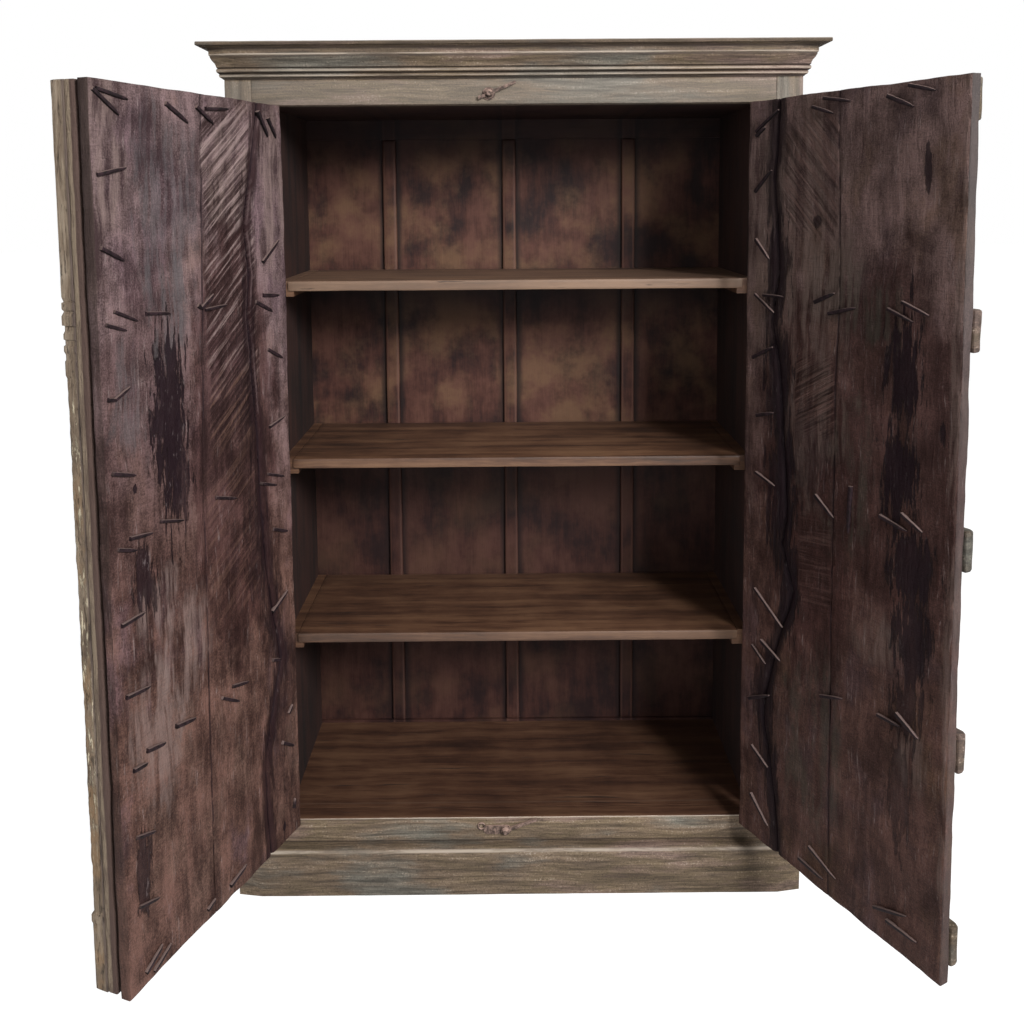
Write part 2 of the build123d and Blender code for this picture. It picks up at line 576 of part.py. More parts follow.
with BuildPart() as hinge_pins:
    for sign in (-1, 1):
        for foot in HINGE_FEET:
            with BuildSketch(Plane((sign * AXIS_X, AXIS_Y, foot))):
                Circle(PIN_RADIUS)
            extrude(amount=HINGE_HEIGHT)
            with BuildSketch(Plane((sign * AXIS_X, AXIS_Y, foot + HINGE_HEIGHT))):
                Circle(PIN_HEAD_RADIUS)
            extrude(amount=PIN_HEAD_HEIGHT, taper=20)
save(hinge_pins, "hinge_pins")

# ---- catches: an iron arm that turns on a headed rivet ----


def catch_plane(catch, proud, angle=0.0):
    """An upright plane in front of the frame, its x along an arm raised by angle."""
    raised = math.radians(angle)
    return Plane((catch[0], FRONT - proud, catch[1]), x_dir=(math.cos(raised), 0, math.sin(raised)), z_dir=(0, -1, 0))


def rivet(catch):
    """Shank in the rail, neck through the arm and a domed head."""
    head_at = CATCH_PLATE_THICKNESS + ARM_THICKNESS + 2 * ARM_PLAY
    with BuildSketch(catch_plane(catch, -CATCH_SHANK_LENGTH)) as shank:
        Circle(NECK_RADIUS)
    extrude(shank.sketch, amount=CATCH_SHANK_LENGTH + head_at)
    with BuildSketch(catch_plane(catch, head_at)) as head:
        Circle(CATCH_HEAD_RADIUS)
    extrude(head.sketch, amount=CATCH_HEAD_HEIGHT, taper=35)


def arm(length, tail):
    """The arm's outline, from its hub to a narrower tip, with or without a ringed tail."""
    with BuildLine() as blade:
        Polyline((0, -ARM_WIDTH / 2), (length, -ARM_TIP_WIDTH / 2), (length, ARM_TIP_WIDTH / 2), (0, ARM_WIDTH / 2),
                 close=True)
    make_face(blade.edges())
    if tail:
        with Locations((-TAIL_LENGTH / 2, 0)):
            Rectangle(TAIL_LENGTH, ARM_TIP_WIDTH)
        with Locations((-TAIL_LENGTH, 0)):
            Circle(TAIL_RING)
    Circle(HUB_RADIUS)
    Circle(NECK_RADIUS + NECK_PLAY, mode=Mode.SUBTRACT)


with BuildPart() as upper_catch_rivet:
    with BuildSketch(catch_plane(UPPER_CATCH, 0)):
        Circle(UPPER_PLATE_RADIUS)
    extrude(amount=CATCH_PLATE_THICKNESS)
    rivet(UPPER_CATCH)
save(upper_catch_rivet, "upper_catch_rivet")

with BuildPart() as lower_catch_rivet:
    with BuildSketch(catch_plane(LOWER_CATCH, 0)):
        with Locations((-LOWER_PLATE_SHIFT, 0)):
            SlotOverall(LOWER_PLATE_LENGTH, LOWER_PLATE_WIDTH)
    extrude(amount=CATCH_PLATE_THICKNESS)
    rivet(LOWER_CATCH)
    staple_at = (LOWER_CATCH[0] + STAPLE_PLACE[0], FRONT - STAPLE_WIRE, LOWER_CATCH[1] + STAPLE_PLACE[1])
    with Locations(Plane(staple_at, z_dir=(0, 1, 0))):
        Torus(STAPLE_RADIUS, STAPLE_WIRE)
save(lower_catch_rivet, "lower_catch_rivet")

ARM_AT = CATCH_PLATE_THICKNESS + ARM_PLAY

with BuildPart() as upper_catch_arm:
    with BuildSketch(catch_plane(UPPER_CATCH, ARM_AT, UPPER_ARM_ANGLE)):
        arm(UPPER_ARM_LENGTH, tail=True)
    extrude(amount=ARM_THICKNESS)
save(upper_catch_arm, "upper_catch_arm")

with BuildPart() as lower_catch_arm:
    with BuildSketch(catch_plane(LOWER_CATCH, ARM_AT, LOWER_ARM_ANGLE)):
        arm(LOWER_ARM_LENGTH, tail=False)
    extrude(amount=ARM_THICKNESS)
save(lower_catch_arm, "lower_catch_arm")
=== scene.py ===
"""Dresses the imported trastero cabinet: weathered planks, carved cover post, mouldings, nails and finishes."""

import json
import math
import random

import bpy
from bpy.props import FloatProperty, FloatVectorProperty, PointerProperty
from mathutils import Matrix, Vector


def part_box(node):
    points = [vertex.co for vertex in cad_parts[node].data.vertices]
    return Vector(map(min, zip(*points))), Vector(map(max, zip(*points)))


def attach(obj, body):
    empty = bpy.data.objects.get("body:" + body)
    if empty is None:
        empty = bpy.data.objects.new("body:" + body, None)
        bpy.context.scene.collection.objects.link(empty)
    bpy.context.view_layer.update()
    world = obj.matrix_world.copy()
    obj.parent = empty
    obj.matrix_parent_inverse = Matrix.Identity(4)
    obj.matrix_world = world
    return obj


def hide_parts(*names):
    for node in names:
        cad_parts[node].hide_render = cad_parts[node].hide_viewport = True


bl_info = {
    "name": "Trastero Cabinet Dressing",
    "version": (1, 0, 0),
    "blender": (4, 5, 0),
    "location": "3D View > Sidebar > Cabinet",
    "description": "Builds the weathered pieces and finishes of a two-door plank cabinet",
    "category": "Add Mesh",
}

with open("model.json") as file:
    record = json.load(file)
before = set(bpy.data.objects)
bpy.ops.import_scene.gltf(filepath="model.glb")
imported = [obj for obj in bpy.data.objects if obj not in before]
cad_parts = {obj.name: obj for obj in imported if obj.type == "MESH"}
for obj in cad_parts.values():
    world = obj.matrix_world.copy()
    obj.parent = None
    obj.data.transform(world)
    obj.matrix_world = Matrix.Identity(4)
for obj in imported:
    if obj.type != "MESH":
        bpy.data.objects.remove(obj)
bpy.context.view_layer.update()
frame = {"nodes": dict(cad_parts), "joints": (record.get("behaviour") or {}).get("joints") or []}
JOINTS = {joint["name"]: joint for joint in frame["joints"]}
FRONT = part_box("frieze_rail")[0].y      # the frame's front face
SEED = 11
SIDES = ("left", "right")
X, Y, Z = 0, 1, 2

# ---------------------------------------------------------------- working with meshes


def deselect():
    if bpy.context.mode != "OBJECT":
        bpy.ops.object.mode_set(mode="OBJECT")
    bpy.ops.object.select_all(action="DESELECT")


def take(piece):
    """Makes a piece the one that the next operators work on."""
    deselect()
    piece.select_set(True)
    bpy.context.view_layer.objects.active = piece


def edit_all(piece):
    """Goes into edit mode with everything selected."""
    take(piece)
    bpy.ops.object.mode_set(mode="EDIT")
    bpy.ops.mesh.select_all(action="SELECT")


def bar(name, low, high):
    """A squared bar between two corners, to be worked on."""
    deselect()
    centre = [(a + b) / 2 for a, b in zip(low, high)]
    bpy.ops.mesh.primitive_cube_add(size=1, location=centre)
    piece = bpy.context.object
    piece.name = piece.data.name = name
    piece.scale = [b - a for a, b in zip(low, high)]
    bpy.ops.object.transform_apply(location=True, rotation=True, scale=True)
    return piece


def pick(piece, test, kind="VERT"):
    """Goes into edit mode with only those vertices, edges or faces selected whose place passes a test."""
    take(piece)
    mesh = piece.data
    for items in (mesh.vertices, mesh.edges, mesh.polygons):
        items.foreach_set("select", [False] * len(items))
    place = [v.co for v in mesh.vertices]
    bpy.context.tool_settings.mesh_select_mode = (kind == "VERT", kind == "EDGE", kind == "FACE")
    if kind == "VERT":
        mesh.vertices.foreach_set("select", [test(co) for co in place])
    elif kind == "EDGE":
        mesh.edges.foreach_set("select", [all(test(place[i]) for i in e.vertices) for e in mesh.edges])
    else:
        mesh.polygons.foreach_set("select", [test(p.center) for p in mesh.polygons])
    bpy.ops.object.mode_set(mode="EDIT")


def done():
    bpy.ops.object.mode_set(mode="OBJECT")


def shift_where(piece, test, offset):
    """Moves the vertices that pass a test."""
    pick(piece, test)
    bpy.ops.transform.translate(value=offset)
    done()


def bevel_where(piece, test, offset, segments=1):
    """Bevels the edges that pass a test."""
    pick(piece, test, "EDGE")
    bpy.ops.mesh.bevel(offset=offset, segments=segments, profile=0.5)
    done()


def slice_up(piece, axis, places):
    """Cuts rings of edges square to an axis."""
    normal = [0.0, 0.0, 0.0]
    normal[axis] = 1.0
    take(piece)
    bpy.ops.object.mode_set(mode="EDIT")
    for place in places:
        bpy.ops.mesh.select_all(action="SELECT")
        bpy.ops.mesh.bisect(plane_co=[place * n for n in normal], plane_no=normal)
    done()


def spaced(low, high, pitch):
    """Even places between two ends, about a pitch apart."""
    count = max(1, round((high - low) / pitch))
    return [low + (high - low) * k / count for k in range(1, count)]


def bake_in(piece, kind, **settings):
    """Adds a modifier and applies it."""
    take(piece)
    modifier = piece.modifiers.new(kind.title(), kind)
    for key, value in settings.items():
        setattr(modifier, key, value)
    bpy.ops.object.modifier_apply(modifier=modifier.name)


def finer(piece, levels):
    """Divides each face into four, as many times as asked."""
    bake_in(piece, "SUBSURF", subdivision_type="SIMPLE", levels=levels, render_levels=levels)


def roughen(piece, size, height, direction="NORMAL", group=""):
    """Pushes a piece's surface in and out by up to half a height, in soft clouds of about a size."""
    name = f"cloud_{size}"
    clouds = bpy.data.textures.get(name) or bpy.data.textures.new(name, "CLOUDS")
    clouds.noise_scale = size
    bake_in(piece, "DISPLACE", texture=clouds, strength=height, mid_level=0.5, texture_coords="LOCAL",
            direction=direction, vertex_group=group)


def smooth(piece, angle=35):
    take(piece)
    bpy.ops.object.shade_smooth_by_angle(angle=math.radians(angle))


def round_arrises(piece, width):
    bake_in(piece, "BEVEL", width=width, segments=2, limit_method="ANGLE", angle_limit=math.radians(40))


def wear(piece, edge, height, size=0.05):
    """Rounds a squared piece's edges and leaves its faces slightly uneven."""
    round_arrises(piece, edge)
    finer(piece, 2)
    roughen(piece, size, height)
    smooth(piece)


def worn_bar(name, low, high, axis, edge, height, size=0.05, pitch=0.05):
    """A bar that is cut up along an axis and then worn."""
    piece = bar(name, low, high)
    slice_up(piece, axis, spaced(low[axis], high[axis], pitch))
    wear(piece, edge, height, size)
    return piece


def join(pieces, name):
    """Joins pieces to one, under a new name."""
    take(pieces[0])
    for piece in pieces[1:]:
        piece.select_set(True)
    bpy.ops.object.join()
    piece = bpy.context.object
    piece.name = piece.data.name = name
    return piece


def settle(piece, matrix):
    """Moves a piece's mesh to its place; the object itself stays at the origin."""
    piece.matrix_world = matrix @ piece.matrix_world
    take(piece)
    bpy.ops.object.transform_apply(location=True, rotation=True, scale=True)


def copy_of(piece, name):
    copy = piece.copy()
    copy.data = piece.data.copy()
    copy.name = copy.data.name = name
    bpy.context.scene.collection.objects.link(copy)
    return copy


def finish_piece(piece, body, slot, material, *nodes):
    """Gives a finished piece its material, hangs it under its body's empty and hides the parts it stands for.
    """
    piece.data.materials.clear()
    piece.data.materials.append(material)
    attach(piece, body)
    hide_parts(*nodes)


def second_finish(piece, material, test):
    """Gives another material to the faces whose middle passes a test."""
    piece.data.materials.append(material)
    pick(piece, test, "FACE")
    piece.active_material_index = 1
    bpy.ops.object.material_slot_assign()
    done()


def moulding(name, outline, path):
    """Sweeps a closed outline of (proud, up) pairs along a level path, mitred at its corners."""
    section = poly_line([(proud, up, 0) for proud, up in outline], True, "2D")
    run = poly_line(path, False, "3D")
    run.data.twist_mode = "Z_UP"
    run.data.bevel_mode = "OBJECT"
    run.data.bevel_object = section
    run.data.use_fill_caps = True
    take(run)
    bpy.ops.object.convert(target="MESH")
    piece = bpy.context.object
    piece.name = piece.data.name = name
    bpy.data.objects.remove(section)
    edit_all(piece)
    bpy.ops.mesh.remove_doubles(threshold=0.00001)
    bpy.ops.mesh.normals_make_consistent(inside=False)
    done()
    return piece


def poly_line(points, closed, dimensions):
    """A curve object with one straight-sided spline through the points."""
    deselect()
    bpy.ops.curve.primitive_nurbs_path_add(location=(0, 0, 0))
    curve = bpy.context.object
    curve.data.splines.clear()
    spline = curve.data.splines.new("POLY")
    spline.points.add(len(points) - 1)
    for point, place in zip(spline.points, points):
        point.co = (*place, 1)
    spline.use_cyclic_u = closed
    curve.data.dimensions = dimensions
    return curve


def stations(corners, pitch):
    """A path's corners with more points along each run."""
    points = [corners[0]]
    for a, b in zip(corners, corners[1:]):
        count = max(1, round((Vector(b) - Vector(a)).length / pitch))
        points += [tuple(Vector(a).lerp(Vector(b), k / count)) for k in range(1, count + 1)]
    return points


# ---------------------------------------------------------------- shaders


def rgba(colour):
    """A colour with its alpha; a Value stays as it is."""
    return colour if isinstance(colour, Value) else (*colour[:3], 1)


def dim(colour, share):
    return [part * share for part in colour]


def grey(level):
    return (level, level, level)


def drawn_out(grain, along, across):
    """Noise scales that draw a figure out along the grain's axis."""
    return [along if axis == grain else across for axis in "xyz"]


class Value:
    """A number that varies over a surface: arithmetic on it adds Math nodes."""

    def __init__(self, owner, socket):
        self.owner = owner
        self.socket = socket

    def __add__(self, other):
        return self.owner.math("ADD", self, other)

    def __sub__(self, other):
        return self.owner.math("SUBTRACT", self, other)

    def __rsub__(self, other):
        return self.owner.math("SUBTRACT", other, self)

    def __mul__(self, other):
        return self.owner.math("MULTIPLY", self, other)

    __radd__ = __add__
    __rmul__ = __mul__


class NodeTree:
    """A shader in the making."""

    def __init__(self, tree):
        self.tree = tree

    def put(self, node, inputs):
        """Links a node's inputs to Values and sets the others."""
        for key, value in inputs.items():
            if isinstance(value, Value):
                self.tree.links.new(value.socket, node.inputs[key])
            else:
                node.inputs[key].default_value = value

    def node(self, kind, settings, inputs, output=0):
        """Adds a node: its settings, or a ramp's stops, are set first, then its inputs."""
        node = self.tree.nodes.new(kind)
        for key, value in settings.items():
            if key == "stops":
                ramp = node.color_ramp.elements
                while len(ramp) < len(value):
                    ramp.new(0.5)
                for element, (place, colour) in zip(ramp, value):
                    element.position = place
                    element.color = (*colour, 1)
            else:
                setattr(node, key, value)
        self.put(node, inputs)
        return Value(self, node.outputs[output])

    def math(self, operation, *numbers):
        return self.node("ShaderNodeMath", {"operation": operation}, dict(enumerate(numbers)))


class Finish(NodeTree):
    """A material in the making, with the colour that is laid on so far."""

    def __init__(self, name):
        self.material = bpy.data.materials.new(name)
        self.material.use_nodes = True
        super().__init__(self.material.node_tree)
        self.surface = self.tree.nodes["Principled BSDF"]
        self.colour = None

    def place(self, origin=(0, 0, 0), turn=(0, 0, 0)):
        """Object coordinates, seen from a frame of the piece's own."""
        here = self.node("ShaderNodeTexCoord", {}, {}, "Object")
        return self.node("ShaderNodeMapping", {"vector_type": "TEXTURE"},
                         {"Vector": here, "Location": origin, "Rotation": turn})

    def axes(self, vector):
        parts = self.node("ShaderNodeSeparateXYZ", {}, {0: vector})
        return [Value(self, socket) for socket in parts.socket.node.outputs]

    def stretch(self, vector, scale):
        return self.node("ShaderNodeVectorMath", {"operation": "MULTIPLY"}, {0: vector, 1: scale})

    def shift(self, vector, offset):
        return self.node("ShaderNodeVectorMath", {"operation": "ADD"}, {0: vector, 1: offset})

    def bend(self, vector, scale, reach):
        """Places that drift softly about, so that a grain laid on them runs in bends."""
        drift = self.shift(self.noise(vector, scale, 2.0, 0.5, "Color"), grey(-0.5))
        return self.shift(vector, self.stretch(drift, grey(reach)))

    def noise(self, vector, scale, detail, rough, output="Fac"):
        """Cloudy noise; three scales stretch it along the axes."""
        if isinstance(scale, (tuple, list)):
            vector = self.stretch(vector, scale)
            scale = 1.0
        return self.node("ShaderNodeTexNoise", {"noise_dimensions": "3D"},
                         {"Vector": vector, "Scale": scale, "Detail": detail, "Roughness": rough}, output)

    def between(self, value, low, high, to_low=0.0, to_high=1.0):
        """Rises smoothly as a value goes from low to high, or falls if low is the larger."""
        if low > high:
            low, high, to_low, to_high = high, low, to_high, to_low
        return self.node("ShaderNodeMapRange", {"interpolation_type": "SMOOTHSTEP"},
                         {0: value, 1: low, 2: high, 3: to_low, 4: to_high})

    def between_straight(self, value, low, high):
        return self.node("ShaderNodeMapRange", {"interpolation_type": "LINEAR"}, {0: value, 1: low, 2: high})

    def ramp(self, value, *stops):
        return self.node("ShaderNodeValToRGB", {"stops": stops}, {0: value})

    def larger(self, a, b):
        return self.math("MAXIMUM", a, b)

    def blend(self, mask, under, over, kind="MIX"):
        """Lays one colour over another where the mask is high."""
        return self.node("ShaderNodeMix", {"data_type": "RGBA", "blend_type": kind},
                         {0: mask, 6: rgba(under), 7: rgba(over)}, 2)

    def over(self, mask, colour):
        """Lays a colour over what is there so far."""
        self.colour = self.blend(mask, self.colour, colour)

    def times(self, tones):
        """Multiplies what is there so far."""
        self.colour = self.blend(1.0, self.colour, tones, "MULTIPLY")

    def close(self, height, distance, roughness, specular):
        """Ends the making and returns the material."""
        normal = self.node("ShaderNodeBump", {}, {"Strength": 1.0, "Distance": distance, "Height": height},
                           "Normal")
        self.put(self.surface, {"Base Color": self.colour, "Roughness": roughness,
                                "Specular IOR Level": specular, "Normal": normal})
        return self.material


class Wood(Finish):
    """An aged wood: broad figure, fine fibres, blotches and cracks that run along the grain."""

    def __init__(self, name, grain, tones, origin=(0, 0, 0), turn=(0, 0, 0)):
        super().__init__(name)
        self.at = self.place(origin, turn)
        flow = self.bend(self.at, 4.0, 0.03)
        fine = drawn_out(grain, 9.0, 230.0)
        self.figure = self.noise(flow, drawn_out(grain, 2.0, 30.0), 5.0, 0.6)
        self.fibres = self.noise(flow, fine, 5.0, 0.7)
        blotch = self.noise(self.at, 6.0, 4.0, 0.6)
        self.cracks = self.between(self.noise(flow, dim(fine, 0.45), 3.0, 0.6), 0.36, 0.28)
        spread = self.figure * 0.45 + blotch * 0.3 + self.fibres * 0.25
        self.colour = self.ramp(self.between(spread, 0.34, 0.66), *tones)
        self.height = self.fibres * 0.5 + self.figure * 0.6 - self.cracks * 0.8
        self.rough = 0.62 + self.fibres * 0.3

    def finished(self, distance=0.0015, specular=0.3):
        """Lays the dark cracks over all and returns the material."""
        self.over(self.cracks * 0.75, (0.012, 0.008, 0.007))
        return self.close(self.height, distance, self.rough, specular)


CORNICE_FOOT = 1.800        # heights of the bands where the paint turns darker or paler
COVE_FOOT, COVE_TOP = 1.848, 1.860
PLINTH_BELT = (0.112, 0.096)


def painted_wood(name, grain, finish, shade=1.0):
    """Old thin paint, rubbed through to pale wood along the grain, with dirt in dents, dirt and painted shade
    in the mouldings' crevices, and darker bands on the cornice and the plinth's foot.
    """
    f = Finish(name)
    at = f.place()
    z = f.axes(at)[Z]
    flow = f.bend(at, 5.0, 0.02)
    tint = f.noise(flow, drawn_out(grain, 2.2, 9.0), 5.0, 0.6)
    streaks = f.noise(flow, drawn_out(grain, 5.0, 110.0), 6.0, 0.66)
    lines = f.noise(flow, drawn_out(grain, 14.0, 420.0), 4.0, 0.7)
    speckle = f.noise(at, 260.0, 5.0, 0.7)
    f.colour = f.ramp(f.between(tint, 0.34, 0.66), (0.0, finish.paint_grey), (0.35, finish.paint),
                      (0.65, finish.paint_olive), (1.0, finish.paint_pink))
    light = f.between(streaks * 0.55 + lines * 0.3 + speckle * 0.15, 0.37, 0.64)
    f.times(f.ramp(light, (0.0, grey(0.42)), (0.5, grey(0.95)), (1.0, grey(1.50))))
    f.times(grey(shade))
    f.over(f.between(speckle, 0.42, 0.33) * 0.6, finish.paint_dark)
    f.over(f.between(speckle + (streaks - 0.5) * 0.8, 0.64, 0.71) * 0.4, finish.paint_scraped)
    frieze = f.between(z, CORNICE_FOOT, CORNICE_FOOT - 0.004) * f.between(z, 1.70, 1.76)
    f.over(frieze * 0.45, (0.165, 0.145, 0.124))
    worn = f.between(f.noise(flow, drawn_out(grain, 4.0, 30.0), 5.0, 0.7), 0.38, 0.56)
    # dark crevices: dirt and painted shade; pale arrises: rubbed paint
    for foot, head, stops in EDGES:
        dark, pale, _ = f.axes(f.ramp(f.between_straight(z, foot, head), *stops))
        f.over(dark * 0.68, finish.paint_dark)
        f.over(pale * (0.25 + worn * 0.6), finish.paint_scraped)
    # darker on the plinth's foot and on the cornice
    f.over(f.between(z, *PLINTH_BELT) * 0.18, finish.paint_dark)
    f.over(f.between(z, CORNICE_FOOT, CORNICE_FOOT + 0.006) * 0.14, finish.paint_dark)
    f.over(f.between(z, COVE_FOOT, COVE_TOP) * 0.42, finish.paint_dark)
    return f.close(streaks * 0.6 + lines * 0.3 + speckle * 0.6, 0.0016, 0.55 + lines * 0.3, 0.25)


# DARK marks crevices with dirt and painted shade, PALE_EDGE rubbed arrises
DARK, PALE_EDGE, PLAIN = (1, 0, 0), (0, 1, 0), (0, 0, 0)
EDGES = (       # foot and head of a band, and the crevices and rubbed arrises in it, as shares of its height
    (1.798, 1.878, (
        (0.0, PLAIN), (0.04, DARK), (0.07, DARK), (0.10, PLAIN), (0.12, PALE_EDGE), (0.15, PLAIN),
        (0.175, DARK), (0.205, DARK), (0.225, PLAIN), (0.245, PALE_EDGE), (0.29, PLAIN), (0.31, DARK),
        (0.335, DARK), (0.355, PLAIN), (0.56, PLAIN), (0.585, DARK), (0.61, DARK), (0.625, PALE_EDGE),
        (0.65, PALE_EDGE), (0.67, PLAIN), (0.75, PLAIN), (0.775, DARK), (0.80, DARK), (0.83, PLAIN),
        (0.92, PLAIN), (0.94, PALE_EDGE), (0.97, PLAIN),
    )),
    (0.080, 0.170, (
        (0.0, PLAIN), (0.19, PLAIN), (0.215, PALE_EDGE), (0.245, PALE_EDGE), (0.27, PLAIN), (0.303, PLAIN),
        (0.312, DARK), (0.335, DARK), (0.36, PLAIN), (0.90, PLAIN), (0.92, PALE_EDGE), (0.955, PALE_EDGE),
        (0.975, PLAIN),
    )),
)


# ---------------------------------------------------------------- settings


def colour(name, description, r, g, b):
    return FloatVectorProperty(name=name, description=description, default=(r, g, b), size=3, min=0, max=1,
                               subtype="COLOR")


def length(name, description, default):
    return FloatProperty(name=name, description=description, default=default, unit="LENGTH")


class CabinetSizes(bpy.types.PropertyGroup):
    """Sizes of the dressed pieces."""
    leaf_start: length("Leaf start", "From the hinge axis to a leaf's hinge edge", 0.0017)
    leaf_width: length("Leaf width", "Width of each door leaf", 0.5341)
    ledge_outer: length("Ledge face", "Depth of the ledges' outer face behind the hinge axis", 0.007)
    plank_outer: length("Plank back", "Depth of the planks' outer face behind the hinge axis", 0.031)
    plank_inner: length("Plank face", "Depth of the planks' inner face behind the hinge axis", 0.057)
    ledge_height: length("Ledge height", "Height of a ledge", 0.072)
    post_width: length("Post width", "Width of the front posts", 0.056)
    cover_width: length("Cover post width", "Width of the carved cover post", 0.054)
    cover_depth: length("Cover post depth", "How far the cover post stands in front of the ledges", 0.030)
    nail: length("Nail thickness", "Thickness of a nail's bent tip", 0.0066)


class CabinetFinish(bpy.types.PropertyGroup):
    """Colours of the finishes."""
    paint: colour("Paint", "Worn brown paint of the frame", 0.150, 0.108, 0.074)
    paint_grey: colour("Paint, grey", "Greenish grey parts of the paint", 0.135, 0.124, 0.102)
    paint_olive: colour("Paint, olive", "Olive parts of the paint", 0.145, 0.106, 0.066)
    paint_pink: colour("Paint, pink", "Pinkish brown undercoat", 0.180, 0.122, 0.100)
    # paint_dark also serves as painted shade in the mouldings' crevices
    paint_dark: colour("Paint, dark", "Dirt in the dents and crevices", 0.022, 0.014, 0.011)
    paint_scraped: colour("Paint, scraped", "Pale wood where the paint is rubbed off", 0.50, 0.42, 0.34)
    left_cool: colour("Left leaf, cool", "Purplish grey of the left leaf's upper part", 0.120, 0.082, 0.082)
    left_red: colour("Left leaf, red", "Dark red-brown of the left leaf's middle", 0.038, 0.0155, 0.0140)
    left_warm: colour("Left leaf, warm", "Brown of the left leaf's lower part", 0.093, 0.050, 0.039)
    right_cool: colour("Right leaf, cool", "Grey-brown of the right leaf's upper part", 0.125, 0.082, 0.074)
    right_red: colour("Right leaf, red", "Dark brown of the right leaf's middle", 0.046, 0.0205, 0.0175)
    right_warm: colour("Right leaf, warm", "Brown of the right leaf's lower part", 0.080, 0.042, 0.034)
    fibre: colour("Bleached fibres", "Pale fibres that stand up on the leaves", 0.30, 0.235, 0.225)
    stain: colour("Stain", "Old black stains on the leaves", 0.010, 0.0045, 0.007)
    shelf: colour("Shelf", "Oiled wood of the shelves", 0.080, 0.036, 0.019)
    shelf_light: colour("Shelf, light", "Light figure of the shelves", 0.165, 0.085, 0.045)
    inside: colour("Inside", "Dark wood of the back and the walls", 0.058, 0.022, 0.016)
    inside_light: colour("Inside, light", "Olive patches on the back panels", 0.150, 0.082, 0.045)
    cream: colour("Cream", "Flakes of old cream paint on the cover post", 0.62, 0.53, 0.38)
    iron: colour("Iron", "Rusted iron of nails and hinges", 0.015, 0.0075, 0.0095)


MATERIALS = {}


class DressingOperator(bpy.types.Operator):
    """Shared ground of the operators below."""
    bl_options = {"REGISTER", "UNDO"}


